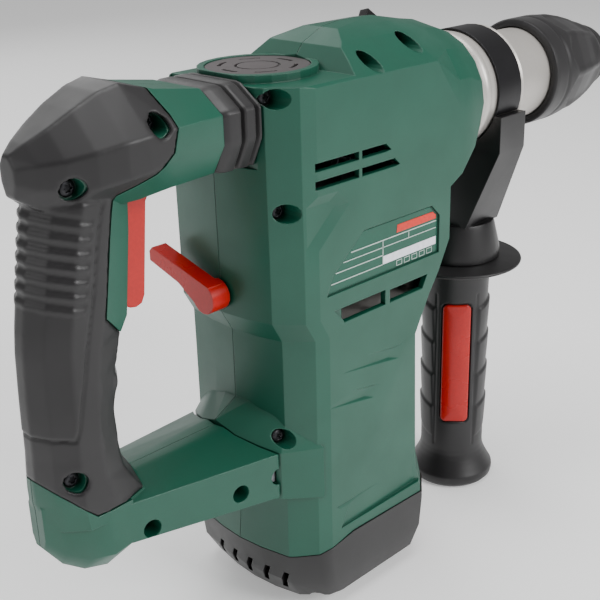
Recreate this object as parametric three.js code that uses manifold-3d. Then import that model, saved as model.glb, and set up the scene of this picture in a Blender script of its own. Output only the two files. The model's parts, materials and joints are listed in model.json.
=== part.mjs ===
// Rotary hammer with an upright motor and a spring-mounted D-handle.
// Millimetres, +X towards the chuck, +Y to the tool's left, +Z up.
// The origin is on the flat foot of the motor end cap, in the plane where the two housing halves meet.
import * as THREE from "three";
import { mergeVertices } from "three/addons/utils/BufferGeometryUtils.js";
import { ConvexGeometry } from "three/addons/geometries/ConvexGeometry.js";
import Module from "manifold-3d";

const wasm = await Module();
wasm.setup();

// ---------------------------------------------------------------- driving dimensions
const GAP = 0.3; // clearance between pieces that touch in the real tool
const WALL = 3; // moulded wall of the housing and of the handle
const HALF_WIDTH = 41; // housing, from the middle plane to its side wall
const SPINDLE_Z = 226; // height of the spindle line above the foot
const NOSE_X = 82; // front rim of the plastic housing
const NOSE_R = 34;
const CAP_TOP_Z = 27.5; // joint line between end cap and housing, at the back

const MODULE = 1.5; // spur gear module
const PINION_TEETH = 8;
const CRANK_TEETH = 27;
const LAY_TEETH = 30;
const CRANK_X = -34; // crankshaft
const GREASE_X = -36.5; // round grease cap over it
const MOTOR_X = CRANK_X + (MODULE * (PINION_TEETH + CRANK_TEETH)) / 2;
const LAY_X = MOTOR_X + (MODULE * (PINION_TEETH + LAY_TEETH)) / 2;
const CRANK_THROW = 11;
const ROD_LENGTH = 46;
const CRANK_PIN_X = CRANK_X - CRANK_THROW; // at rest the crank pin is at its rearmost
const WRIST_X = CRANK_PIN_X + ROD_LENGTH;
const BEVEL_PINION_TEETH = 10;
const BEVEL_RING_TEETH = 30;

const COLLAR_R = 30; // aluminium collar that the side handle clamps on
const COLLAR_END_X = 120;
const NECK_R = 24.6;
const NECK_END_X = 168;
const CYLINDER_R = 18; // spindle tube, outside
const BORE_R = 14.2; // spindle tube, inside
const SLEEVE_START_X = 154;
const TIP_X = 227;
const BALL_X = 192; // locking balls of the tool holder

const HINGE = [-61.5, 76]; // x and z of the pivot pin between housing and rear handle
const JOINT_GAP = 0.9; // open joint between housing and rear handle
const RUBBER = 2.5; // soft grip layer on the rear handle
const LEVER_Z = 160.5; // mode lever axis, on the back of the housing
const KNOB = { x: 82, z: 246, r: 15, turn: 35 }; // mode knob, on the left of the nose
const TRIGGER_PIVOT = [-121, 221];
const SIDE_X = 108.5; // side handle axis
const STRAP_WIDTH = 19;

// ---------------------------------------------------------------- materials
const colours = {
  green_plastic: [0x326b55, 0.5, 0],
  dark_plastic: [0x3a3539, 0.55, 0],
  black_rubber: [0x343136, 0.75, 0],
  red_plastic: [0xc83a2c, 0.4, 0],
  aluminium: [0xc2bfb9, 0.4, 1],
  steel: [0x8d9096, 0.3, 1],
  black_steel: [0x17161a, 0.25, 1],
  lamination: [0x5c6068, 0.5, 1],
  copper: [0xb0643a, 0.4, 1],
  brass: [0xc2a05a, 0.35, 1],
  carbon: [0x2a2a2c, 0.8, 0],
};

function finish(name) {
  const [color, roughness, metalness] = colours[name];
  return new THREE.MeshStandardMaterial({ color, roughness, metalness });
}

const hammer = new THREE.Group();

function add(name, material, solid) {
  const mesh = new THREE.Mesh(asGeometry(solid), finish(material));
  mesh.name = name;
  hammer.add(mesh);
}

// ---------------------------------------------------------------- solids from three.js geometries
function asSolid(geometry) {
  const plain = geometry.index ? geometry.toNonIndexed() : geometry.clone();
  for (const key of Object.keys(plain.attributes)) {
    if (key !== "position") plain.deleteAttribute(key);
  }
  const merged = mergeVertices(plain, 1e-4);
  const index = merged.index.array;
  const kept = [];
  for (let i = 0; i < index.length; i += 3) {
    const [a, b, c] = [index[i], index[i + 1], index[i + 2]];
    if (a !== b && b !== c && c !== a) kept.push(a, b, c);
  }
  const vertProperties = new Float32Array(merged.attributes.position.array);
  const triVerts = new Uint32Array(kept);
  return new wasm.Manifold(new wasm.Mesh({ numProp: 3, vertProperties, triVerts }));
}

function asGeometry(solid) {
  const mesh = solid.getMesh();
  const geometry = new THREE.BufferGeometry();
  geometry.setAttribute("position", new THREE.BufferAttribute(mesh.vertProperties, 3));
  geometry.setIndex(new THREE.BufferAttribute(mesh.triVerts, 1));
  geometry.computeVertexNormals();
  return geometry;
}

const join = (...solids) => solids.reduce((a, b) => a.add(b));
const cut = (solid, ...tools) => tools.reduce((a, b) => a.subtract(b), solid);

// An extrusion's own axes (u, v, depth) laid along three axes of the tool.
const LAID = {
  x: new THREE.Matrix4().makeBasis(axis(1), axis(2), axis(0)), // outline in y, z
  y: new THREE.Matrix4().makeBasis(axis(2), axis(0), axis(1)), // outline in z, x
  z: new THREE.Matrix4(), // outline in x, y
};

function axis(i) {
  return new THREE.Vector3().setComponent(i, 1);
}

function extrude(along, outline, from, to) {
  const points = outline.map(([u, v]) => new THREE.Vector2(u, v));
  const shape = new THREE.Shape(points);
  const geometry = new THREE.ExtrudeGeometry(shape, { depth: to - from, bevelEnabled: false, steps: 1 });
  geometry.translate(0, 0, from);
  return asSolid(geometry.applyMatrix4(LAID[along]));
}

// Side-view outline of x, z points, extruded across the tool.
function acrossY(outline, from, to) {
  return extrude("y", outline.map(([x, z]) => [z, x]), from, to);
}

function box(x0, x1, y0, y1, z0, z1) {
  const geometry = new THREE.BoxGeometry(x1 - x0, y1 - y0, z1 - z0);
  return asSolid(geometry.translate((x0 + x1) / 2, (y0 + y1) / 2, (z0 + z1) / 2));
}

// Solid of revolution. The profile holds radius, distance pairs, and it turns about the line that
// runs along one axis through the point `at`.
function turned(along, profile, at = [0, 0, 0], segments = 24) {
  const points = profile.map(([r, d]) => new THREE.Vector2(r, d));
  const geometry = new THREE.LatheGeometry(points, segments);
  geometry.rotateX(Math.PI / 2); // the lathe turns about y: lay that axis along z
  geometry.applyMatrix4(LAID[along]).translate(...at);
  const solid = asSolid(geometry);
  return solid.volume() < 0 ? asSolid(flipped(geometry)) : solid;
}

function flipped(geometry) {
  const plain = geometry.toNonIndexed();
  const p = plain.attributes.position.array;
  for (let i = 0; i < p.length; i += 9) {
    for (let k = 0; k < 3; k++) [p[i + k], p[i + 3 + k]] = [p[i + 3 + k], p[i + k]];
  }
  return plain;
}

// Number of facets round a circle of this radius.
function facets(r) {
  if (r < 5) return 10;
  if (r < 9) return 14;
  return r < 20 ? 18 : 24;
}

function rod(along, from, to, r, at = [0, 0, 0], segments = facets(r)) {
  return turned(along, [[0, from], [r, from], [r, to], [0, to]], at, segments);
}

function ring(along, from, to, inner, outer, at = [0, 0, 0], segments = facets(outer)) {
  return turned(along, [[inner, from], [outer, from], [outer, to], [inner, to], [inner, from]], at, segments);
}

function hull(points) {
  return asSolid(new ConvexGeometry(points.map((p) => new THREE.Vector3(...p))));
}

// A hollow needs only every second section of the shape around it.
const coarser = (sections, inset) => (inset > RUBBER ? sections.filter((_, i) => i % 2 === 0) : sections);

// Joins each pair of neighbouring convex sections into one skin.
function loft(sections) {
  const pieces = sections.slice(1).map((section, i) => hull([...sections[i], ...section]));
  return join(...pieces);
}

// A half outline (first value along, second value >= 0 across) closed by its mirror image.
function mirrored(half) {
  const other = half.filter(([, v]) => v > 0).reverse();
  return [...half.map(([u, v]) => [u, -v]), ...other];
}

function spring(start, end, r, wire, turns) {
  class Helix extends THREE.Curve {
    getPoint(t) {
      const angle = t * turns * 2 * Math.PI;
      return new THREE.Vector3(start + (end - start) * t, r * Math.cos(angle), r * Math.sin(angle));
    }
  }
  const section = new THREE.Shape();
  section.absarc(0, 0, wire / 2, 0, 2 * Math.PI, false);
  const options = { steps: Math.round(turns * 9), extrudePath: new Helix(), curveSegments: 3, bevelEnabled: false };
  return new THREE.ExtrudeGeometry(section, options);
}

// ---------------------------------------------------------------- housing
// Plan outline of the housing at one height, from its back to its front. The left half shell has the
// fuller rear corner, round the motor wiring.
function plan(back, front, half) {
  const right = [
    [back, 0],
    [back + 1.5, -14],
    [back + 5, 13 - half],
    [back + 15, 2 - half],
    [back + 22, -half],
  ];
  const left = [
    [back + 20, half],
    [back + 12, half - 0.6],
    [back + 3.5, half - 9],
    [back + 0.6, 14],
  ];
  const nose = [
    [front - 22, half],
    [front - 9, half - 11],
    [front - 2, half - 25],
  ];
  const frontRight = nose.map(([x, y]) => [x, -y]);
  return [...right, ...frontRight, [front, 0], ...nose.reverse(), ...left];
}

// height, back, front, half width: the motor can flares into the end cap below and, above the
// windows, swells back and front into the gear housing.
const HOUSING_LEVELS = [
  [CAP_TOP_Z, -61.5, 50, 43],
  [48, -59.5, 46.5, HALF_WIDTH],
  [123, -59, 45, HALF_WIDTH],
  [141, -59, 55, HALF_WIDTH],
  [151, -64.5, 62, HALF_WIDTH],
  [166, -64.5, 70, HALF_WIDTH],
  [198, -64.5, 70, HALF_WIDTH],
];

const DECK_Z = 255; // flat deck around the grease cap
// The crown over the gears in cross section; its left shoulder falls away a little more.
const CROWN = [
  [-HALF_WIDTH, 254],
  [-31, 260],
  [-21, 265.5],
  [-11, 269.3],
  [0, 271],
  [11, 269.3],
  [21, 264.5],
  [28, 257],
  [34, 249.5],
  [HALF_WIDTH, 240],
];

function motorCan(inset) {
  const levels = inset > 0 ? HOUSING_LEVELS.filter((_, i) => i !== 1 && i !== 5) : HOUSING_LEVELS;
  const sections = levels.map(([z, back, front, half], i) => {
    const height = i === 0 && inset > 0 ? z - 1 : z;
    return plan(back + inset, front - inset, half - inset).map(([x, y]) => [x, y, height]);
  });
  return loft(sections);
}

// Gear housing sections from back to front: the last ones run from a square shoulder into the round nose.
function gearHousing(inset) {
  const half = HALF_WIDTH - inset;
  const crown = CROWN.map(([y, z]) => [Math.max(-half, Math.min(y, half)), z - inset]);
  const square = [...crown, [-half, 186], [half, 186]];
  const chest = [...arc(half, 16), [-half, 197 + inset], [half, 197 + inset]];
  const shoulder = [...arc(half - 1.5, 16), [-half + 0.5, 208 + inset], [half - 0.5, 208 + inset]];
  const nose = arc(NOSE_R - inset, 20);
  const block = loft([
    square.map(([y, z]) => [-70, y, z]),
    square.map(([y, z]) => [36, y, z]),
    chest.map(([y, z]) => [57 - inset, y, z]),
    shoulder.map(([y, z]) => [67 - inset, y, z]),
    nose.map(([y, z]) => [NOSE_X - inset, y, z]),
  ]);
  const deck = DECK_Z - inset;
  const profile = acrossY(
    [
      [-70, 180],
      [-70, deck - 5],
      [-60 + inset, deck],
      [-17, deck],
      [-9, 264 - inset],
      [3, 269.5 - inset],
      [30, 273],
      [95, 273],
      [95, 180],
    ],
    -60,
    60,
  );
  const planView = extrude("z", plan(-64.5 + inset, 120, half), 180, 280);
  return block.intersect(profile).intersect(planView);
}

// Points on a circle round the spindle line, as y, z.
function arc(r, count) {
  const turn = (i) => (2 * Math.PI * i) / count;
  return Array.from({ length: count }, (_, i) => [r * Math.cos(turn(i)), SPINDLE_Z + r * Math.sin(turn(i))]);
}

// The lump behind the motor can that carries the rear handle's pivot. Its back face is the joint line.
function pivotLump(inset) {
  const s = HINGE_FACE.map(([y, x]) => [y, x]);
  const points = [];
  for (const [y, x] of s) {
    for (const side of [-1, 1]) {
      points.push([x + inset, side * (y - (y > 20 ? inset : 0)), ridge(y) - inset]);
      points.push([x + inset, side * (y - (y > 20 ? inset : 0)), keel(y) + inset]);
    }
  }
  for (const side of [-1, 1]) {
    points.push([-42, side * (HALF_WIDTH - inset), 87 - inset], [-42, side * (HALF_WIDTH - inset), 60 + inset]);
    points.push([-50, side * (26 - inset), 105 - inset], [-48, side * 14, 111 - inset]);
  }
  points.push([-50, 0, 111 - inset], [-50, 0, 60 + inset]);
  return hull(points);
}

// Joint line between housing and rear handle, as distance from the middle plane and x.
const HINGE_FACE = [
  [0, -72.5],
  [12, -70.5],
  [22, -65.5],
  [31, -60],
];
const ridge = (y) => 99 - 0.37 * y;
const keel = (y) => 60 + 0.1 * y;

const HOUSING_SCREWS = [
  { x: -56, z: 250.5, head: -24 },
  { x: -54, z: 202, head: -27 },
  { x: -2, z: 258, head: -18 },
  { x: 31, z: 261.5, head: -17 },
  { x: -56, z: 93, head: -24 },
];

function screwBoss({ x, z, head }, shell) {
  const at = [x, 0, z];
  const slim = rod("y", -40, 40, 4.6, at);
  const wide = rod("y", -60, head + 3, 6.4, at);
  return join(slim, wide).intersect(shell);
}

function screwHole({ x, z, head }) {
  const at = [x, 0, z];
  return join(rod("y", -60, head, 4.3, at, 16), rod("y", -60, SCREW_END + 1, 2.2, at));
}

function addScrew(name, { x, z, head }) {
  const at = [x, 0, z];
  const shank = rod("y", head + GAP, SCREW_END, 1.8, at);
  const top = rod("y", head - 2.6, head - GAP, 3.8, at);
  const slots = [
    box(x - 2.6, x + 2.6, head - 4, head - 1.4, z - 0.5, z + 0.5),
    box(x - 0.5, x + 0.5, head - 4, head - 1.4, z - 2.6, z + 2.6),
  ];
  add(name, "steel", cut(join(shank, top, rod("y", head - 1, head + 1, 1.8, at)), ...slots));
}

const SCREW_END = 9; // how far the housing and handle screws reach into the left half
const SIDE_DEPTH = 60; // cutting tools reach this far out from the middle plane

// Joint line of the end cap in side view: low round the back, higher along the sides.
const CAP_SEAM = [
  [-80, CAP_TOP_Z],
  [-54, 28],
  [-40, 30.3],
  [-24, 33],
  [70, 31],
];

function belowSeam(lift) {
  const line = CAP_SEAM.map(([x, z]) => [x, z + lift]);
  return acrossY([[-80, -10], ...line, [70, -10]], -SIDE_DEPTH, SIDE_DEPTH);
}

// A cut through the side walls, made on both sides of the tool.
function sideCut(outline, inner, outer = SIDE_DEPTH) {
  return join(acrossY(outline, inner, outer), acrossY(outline, -outer, -inner));
}

// A long vent slot with a pointed front end.
function slot(x0, x1, z0, z1, point) {
  return [
    [x0, z0],
    [x1, z0],
    [x1 + point, z0 + (z1 - z0) * 0.1],
    [x1, z1],
    [x0, z1],
  ];
}

function ventCuts() {
  const cuts = [
    sideCut(slot(-43.5, -16.7, 211, 214.8, 0), 30),
    sideCut(slot(-14.8, 7, 211, 214.8, 3.5), 30),
    sideCut(slot(-43.5, -16.7, 218.9, 222.6, 0), 30),
    sideCut(slot(-14.8, 1, 218.9, 222.6, 3.5), 30),
    sideCut([[-33.5, 153], [-27.5, 146.5], [0.8, 146.5], [0.8, 153]], 39.4),
    sideCut(slot(-27.5, 0.8, 145.6, 152.6, 0), 30),
    sideCut([[4, 145.6], [28, 145.6], [31.4, 152], [4, 152]], 30),
  ];
  return join(...cuts);
}

const LABEL_OUTLINE = [
  [-38, 161],
  [40, 161],
  [40, 180],
  [34, 186],
  [-14, 186],
  [-34, 170],
];

// Facets of the side walls. Each is a wedge cut away on both sides, its inner face running through points
// given as x, z and depth below the side wall.
function facet(points) {
  return [-1, 1].map((side) =>
    hull(
      points.flatMap(([x, z, depth]) => [
        [x, side * (HALF_WIDTH - depth), z],
        [x, side * SIDE_DEPTH, z],
      ]),
    ),
  );
}

function sideFacets() {
  const skirt = facet([[-34, 50.5, 0.6], [13, 50.5, 0.6], [21, 41, -2], [-25, 42, -2]]);
  const frontTaper = facet([[24, 124, 0], [-32, 38, 0], [56, 124, 1.8], [56, 38, 1.8]]);
  const upperScoop = facet([[-29, 120.4, 0], [4.2, 116.6, 1.1], [11, 114.3, 0], [14, 121, 0], [7, 120.4, 1], [-12, 124, 0]]);
  const lowerScoop = facet([[-39, 105.6, 0], [-13, 102.2, 1.1], [-7.5, 100, 0], [-2.6, 105.8, 0], [-9.8, 106, 1], [-24, 109.5, 0]]);
  const shoulder = facet([
    [-80, 173, 0], [-50, 177, 0], [-23, 201, 0], [-30, 208, 0], [-80, 208, 0],
    [-80, 177, 1.6], [-53, 182, 1.6], [-31, 201, 1.6], [-34, 204, 1.6], [-80, 204, 1.6],
  ]);
  return join(...skirt, ...frontTaper, ...upperScoop, ...lowerScoop, ...shoulder);
}

// Tails that lead out of two of the screw wells towards the back.
function wellTails() {
  return [[-54, 202, -66, 202.5, 34], [-56, 93, -64, 101, 28]].map(([x, z, tailX, tailZ, depth]) => {
    const mouth = rod("y", -SIDE_DEPTH, -depth, 4.2, [x, 0, z], 12);
    const tip = acrossY([[tailX, tailZ], [tailX + 1, tailZ + 0.6], [tailX + 1, tailZ - 0.6]], -SIDE_DEPTH, -depth - 2);
    return wasm.Manifold.hull([mouth, tip]);
  });
}

function housingBody() {
  const boss = rod("z", 240, 258.5, 26.5, [GREASE_X, 0, 0]);
  const knobBoss = rod("y", 24, 41, 10, [KNOB.x, 0, KNOB.z]);
  const outer = join(motorCan(0), gearHousing(0), pivotLump(0), boss, knobBoss);
  const hollow = join(motorCan(WALL), gearHousing(WALL), pivotLump(WALL + 1));
  const capSeat = rod("z", 255.4, 262, 23.4, [GREASE_X, 0, 0]);
  const capHole = rod("z", 240, 262, 16, [GREASE_X, 0, 0]);
  const bosses = join(...HOUSING_SCREWS.map((screw) => screwBoss(screw, outer)));
  const pinBosses = rod("y", -38, 38, 8, [HINGE[0], 0, HINGE[1]]).intersect(pivotLump(0));
  const ribs = join(
    bridge(30.5, 38.5, 11.3),
    bridge(110.7, 114, 31.4),
    bridge(127.5, 129.5, 34).subtract(box(-80, 80, -30, 30, 120, 130)),
  );
  const shell = join(outer.subtract(hollow), bosses, ribs, pinBosses);
  const pocket = join(
    rod("y", -25.5, 25.5, 10.2, [HINGE[0], 0, HINGE[1]]),
    box(-90, HINGE[0], -25.5, 25.5, 65, 87),
    rod("y", -28.5, 28.5, 4.15, [HINGE[0], 0, HINGE[1]]),
  );
  const barrel = rod("x", 40, 100, COLLAR_R + GAP, [0, 0, SPINDLE_Z], 32);
  const bellowsSeat = box(-90, -60.5, -29.8, 29.8, 220.7, 262);
  const springHole = rod("x", -80, -50, 10.5, [0, 0, 238]);
  const leverHole = rod("x", -80, -50, 4.4, [0, 0, LEVER_Z]);
  const knobHole = rod("y", 25, 45, 5.4, [KNOB.x, 0, KNOB.z]);
  const label = acrossY(LABEL_OUTLINE, -SIDE_DEPTH, -HALF_WIDTH + 1.2);
  const screws = join(...HOUSING_SCREWS.map(screwHole));
  return cut(
    shell, capSeat, capHole, pocket, barrel, bellowsSeat, springHole, leverHole, knobHole, label, belowSeam(GAP), screws,
    ventCuts(), sideFacets(), ...wellTails(),
  );
}

// A plate across the inside of the housing with a round hole for the motor.
function bridge(from, to, r) {
  const plate = box(-80, 80, -60, 60, from, to).intersect(motorCan(WALL - 1));
  return plate.subtract(rod("z", from - 1, to + 1, r, [MOTOR_X, 0, 0]));
}

function addHousing() {
  const body = housingBody();
  const half = GAP / 2;
  add("housing_right", "green_plastic", body.intersect(box(-100, 100, -70, -half, 0, 300)));
  add("housing_left", "green_plastic", body.intersect(box(-100, 100, half, 70, 0, 300)));
  addScrew("housing_screw", HOUSING_SCREWS[0]);
}

function addEndCap() {
  const levels = [
    [0, -53, 44, 40.5],
    [12, -59.5, 48, 43],
    [CAP_TOP_Z, -61.5, 50, 43],
    [40, -61.5, 50, 43],
  ];
  const sections = levels.map(([z, back, front, half]) => plan(back, front, half).map(([x, y]) => [x, y, z]));
  const outer = loft(sections).intersect(belowSeam(0));
  const hollow = loft([
    plan(-50, 41, 37.5).map(([x, y]) => [x, y, 3]),
    plan(-57, 45, 40).map(([x, y]) => [x, y, 12]),
    plan(-59.5, 47, 40).map(([x, y]) => [x, y, 60]),
  ]);
  const vents = [-22, -11, 0, 11, 22].map((y) =>
    hull([
      [-63, y - 1.5, 6], [-63, y + 1.5, 6], [-63, y - 6.5, 17], [-63, y - 3.5, 17],
      [-48, y - 1.5, 4], [-48, y + 1.5, 4], [-48, y - 6.5, 17], [-48, y - 3.5, 17],
    ]),
  );
  const notch = rod("x", -60, -30, 3, [0, -34, -1]);
  add("motor_end_cap", "dark_plastic", cut(outer, hollow, ...vents, notch));
}

function addGreaseCap() {
  const at = [GREASE_X, 0, 0];
  const disc = rod("z", 255.7, 258.1, 23, at);
  const plug = rod("z", 249, 255.9, 15.6, at);
  const circle = ring("z", 257.2, 260, 9, 10.2, at);
  const band = ring("z", 256.9, 260, 16, 17.8, at);
  const slots = Array.from({ length: 6 }, (_, i) => {
    const wedge = extrude("z", [[0, 0], [30, -9], [30, 9]], 250, 265);
    return band.intersect(wedge.rotate([0, 0, 60 * i]).translate(at));
  });
  add("grease_cap", "dark_plastic", cut(join(disc, plug), circle, ...slots));
}

// ---------------------------------------------------------------- front collar and spindle line
const ON_SPINDLE = [0, 0, SPINDLE_Z];

function addCollar() {
  const profile = [
    [19.5, 60], [NOSE_R - 0.5, 60], [NOSE_R - 0.5, 66], [COLLAR_R, 66], [COLLAR_R, 97.5], [COLLAR_R - 0.4, 98],
    [COLLAR_R - 0.4, 119], [COLLAR_R - 0.8, COLLAR_END_X + 2], [NECK_R, COLLAR_END_X + 3], [NECK_R, NECK_END_X],
    [21.3, NECK_END_X], [21.3, 160], [16.6, 160], [16.6, 94], [27.3, 94], [27.3, 79], [19.5, 79], [19.5, 60],
  ];
  add("front_collar", "aluminium", turned("x", profile, ON_SPINDLE, 28));
  add("spindle_bearing", "steel", ring("x", 80, 92.5, CYLINDER_R + GAP, 27, ON_SPINDLE));
  add("spindle_seal", "black_rubber", ring("x", 160.5, 166, 15.4, 21, ON_SPINDLE));
}

function addSpindle() {
  const tube = [
    [BORE_R, -14], [CYLINDER_R, -14], [CYLINDER_R, 93], [15, 93], [15, 128], [9.4, 128], [9.4, 88], [BORE_R, 88],
    [BORE_R, -14],
  ];
  add("spindle_tube", "steel", turned("x", tube, ON_SPINDLE));
  const holder = [
    [5.2, 128.4], [15, 128.4], [15, 172], [17.2, 174], [17.2, 196], [15, 198], [14, TIP_X - 8], [11, TIP_X - 6],
    [5.2, TIP_X - 6], [5.2, 128.4],
  ];
  const keyway = box(150, TIP_X, -1.6, 1.6, SPINDLE_Z - 7, SPINDLE_Z + 7);
  const windows = [-1, 1].map((side) => rod("y", side < 0 ? -22 : 3, side < 0 ? -3 : 22, 3.7, [BALL_X, 0, SPINDLE_Z]));
  const body = turned("x", holder, ON_SPINDLE);
  add("tool_holder", "steel", cut(body, keyway, ...windows));
  for (const side of [-1, 1]) {
    const ball = asSolid(new THREE.SphereGeometry(3.3, 12, 8).translate(BALL_X, side * 11.5, SPINDLE_Z));
    add(side < 0 ? "locking_ball_right" : "locking_ball_left", "steel", ball);
  }
  const cup = [
    [5.8, TIP_X - 5.6], [14.4, TIP_X - 5.6], [14.4, TIP_X - 11], [17.2, TIP_X - 11], [17, TIP_X - 8],
    [14, TIP_X - 2], [11, TIP_X], [7.5, TIP_X], [5.8, TIP_X - 2], [5.8, TIP_X - 5.6],
  ];
  add("dust_cap", "black_rubber", turned("x", cup, ON_SPINDLE));
}

function addStrikingParts() {
  const striker = [[0, 62], [12.6, 62], [13.8, 63.5], [13.8, 82], [8.5, 86], [0, 86]];
  add("striker", "steel", turned("x", striker, ON_SPINDLE, 28));
  const bolt = [[0, 88.6], [9, 88.6], [9, 112], [5, 116], [5, 122], [0, 122]];
  add("impact_bolt", "steel", turned("x", bolt, ON_SPINDLE, 24));
  const crown = rod("x", -8, 16, BORE_R - 0.4, ON_SPINDLE);
  const fork = box(-9, 9, -8.5, 8.5, SPINDLE_Z - 5.5, SPINDLE_Z + 5.5);
  const pinHole = rod("z", 200, 250, 3.3, [1, 0, 0]);
  const flare = hull([
    [-9, -13, SPINDLE_Z - 5.5], [-9, 13, SPINDLE_Z - 5.5], [8, -8.5, SPINDLE_Z - 5.5], [8, 8.5, SPINDLE_Z - 5.5],
    [-9, -13, SPINDLE_Z + 5.5], [-9, 13, SPINDLE_Z + 5.5], [8, -8.5, SPINDLE_Z + 5.5], [8, 8.5, SPINDLE_Z + 5.5],
  ]);
  add("piston", "aluminium", cut(crown, fork, flare, pinHole));
  add("wrist_pin", "steel", rod("z", SPINDLE_Z - 12, SPINDLE_Z + 12, 3, [1, 0, 0]));
}

function addConnectingRod() {
  const bigEnd = 1 - ROD_LENGTH;
  const [low, high] = [SPINDLE_Z - 4.5, SPINDLE_Z + 4.5];
  const shank = box(bigEnd, 1, -3.5, 3.5, low + 1.5, high - 1.5);
  const rodBody = join(shank, rod("z", low, high, 8, [bigEnd, 0, 0]), rod("z", low, high, 5.8, [1, 0, 0]));
  const holes = [rod("z", 200, 250, 4.3, [bigEnd, 0, 0]), rod("z", 200, 250, 3.3, [1, 0, 0])];
  add("connecting_rod", "aluminium", cut(rodBody, ...holes));
  add("crank_pin", "steel", rod("z", 212.3, high + 1, 4, [bigEnd, 0, 0]));
}

// ---------------------------------------------------------------- gears
// Spur gear blank with straight-sided teeth. `phase` counts tooth pitches.
function spurGear(teeth, from, to, bore, x, phase) {
  const pitchR = (MODULE * teeth) / 2;
  const [root, tip] = [pitchR - 1.2 * MODULE, pitchR + 0.85 * MODULE];
  const step = (2 * Math.PI) / teeth;
  const outline = [];
  for (let i = 0; i < teeth; i++) {
    const middle = (i + phase) * step;
    const atRoot = (0.3 * Math.PI * MODULE) / root;
    const atTip = (0.1 * Math.PI * MODULE) / tip;
    for (const [r, a] of [[root, -atRoot], [tip, -atTip], [tip, atTip], [root, atRoot]]) {
      outline.push([x + r * Math.cos(middle + a), r * Math.sin(middle + a)]);
    }
  }
  const blank = extrude("z", outline, from, to);
  return bore > 0 ? blank.subtract(rod("z", from - 1, to + 1, bore, [x, 0, 0])) : blank;
}

// Point on a cone about the bevel apex: distance, cone angle and turn about the gear's own axis.
function onCone(frame, distance, cone, turn) {
  const radial = frame.u.clone().multiplyScalar(Math.cos(turn)).addScaledVector(frame.v, Math.sin(turn));
  const point = frame.axis.clone().multiplyScalar(distance * Math.cos(cone));
  point.addScaledVector(radial, distance * Math.sin(cone)).add(frame.apex);
  return point.toArray();
}

const BEVEL = { outer: 25.3, inner: 20.9, addendum: 0.045, dedendum: 0.085 };

function bevelTeeth(frame, teeth, pitchCone, phase) {
  const step = (2 * Math.PI) / teeth;
  const tooth = (i) => {
    const middle = (i + phase) * step;
    const points = [];
    for (const distance of [BEVEL.inner, BEVEL.outer]) {
      for (const side of [-1, 1]) {
        points.push(onCone(frame, distance, pitchCone - BEVEL.dedendum - 0.05, middle + side * 0.3 * step));
        points.push(onCone(frame, distance, pitchCone + BEVEL.addendum, middle + side * 0.1 * step));
      }
    }
    return hull(points);
  };
  return join(...Array.from({ length: teeth }, (_, i) => tooth(i)));
}

const APEX = new THREE.Vector3(LAY_X, 0, SPINDLE_Z);
const PINION_CONE = Math.atan(BEVEL_PINION_TEETH / BEVEL_RING_TEETH);
const RING_CONE = Math.PI / 2 - PINION_CONE;

function addBevelRing() {
  const frame = { apex: APEX, axis: axis(0), u: axis(1), v: axis(2) };
  const cone = RING_CONE - BEVEL.dedendum;
  const at = (distance) => [distance * Math.sin(cone), LAY_X + distance * Math.cos(cone)];
  const blank = turned(
    "x",
    [[CYLINDER_R + GAP, at(19.6)[1]], at(19.6), at(BEVEL.outer + 0.2), [24.5, 38], [CYLINDER_R + GAP, 38],
      [CYLINDER_R + GAP, at(19.6)[1]]],
    ON_SPINDLE,
    BEVEL_RING_TEETH,
  );
  add("bevel_ring_gear", "steel", join(blank, bevelTeeth(frame, BEVEL_RING_TEETH, RING_CONE, ringPhase())));
}

// The ring has a gap straight below the spindle, where the pinion has a tooth.
function ringPhase() {
  const below = (-Math.PI / 2) / ((2 * Math.PI) / BEVEL_RING_TEETH);
  return below - Math.floor(below) + 0.5;
}

function addLayShaft() {
  add("intermediate_gear", "steel", spurGear(LAY_TEETH, 142.5, 150.5, 5 + GAP, LAY_X, 0.5));
  const frame = { apex: APEX, axis: axis(2).negate(), u: axis(0), v: axis(1) };
  const cone = PINION_CONE - BEVEL.dedendum;
  const at = (distance) => [distance * Math.sin(cone), SPINDLE_Z - distance * Math.cos(cone)];
  const blank = turned(
    "z",
    [[0, at(BEVEL.outer)[1]], at(BEVEL.outer), at(19.9), [0, at(19.9)[1]]],
    [LAY_X, 0, 0],
    BEVEL_PINION_TEETH,
  );
  const shaft = rod("z", 132, 203, 5, [LAY_X, 0, 0]);
  add("bevel_shaft", "steel", join(shaft, blank, bevelTeeth(frame, BEVEL_PINION_TEETH, PINION_CONE, 0)));
}

function addCrank() {
  const at = [CRANK_X, 0, 0];
  add("crank_gear", "steel", spurGear(CRANK_TEETH, 142.5, 150.5, 6 + GAP, CRANK_X, 0.5));
  const shaft = rod("z", 132, 204, 6, at);
  const disc = rod("z", 204, 212, 16, at);
  const balance = box(CRANK_X - 20, CRANK_X - 2, -20, 20, 208, 220).subtract(rod("z", 200, 222, 8, [1 - ROD_LENGTH, 0, 0]));
  add("crankshaft", "steel", join(shaft, disc).subtract(balance.intersect(box(-100, 0, -50, 50, 209, 220)).intersect(box(-100, 0, 17, 50, 0, 300))));
  add("crank_bearing_lower", "steel", ring("z", 132, 139.5, 6 + GAP, 12, at));
  add("crank_bearing_upper", "steel", ring("z", 185, 193, 6 + GAP, 13, at));
}

// ---------------------------------------------------------------- motor
const ON_MOTOR = [MOTOR_X, 0, 0];

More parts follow.
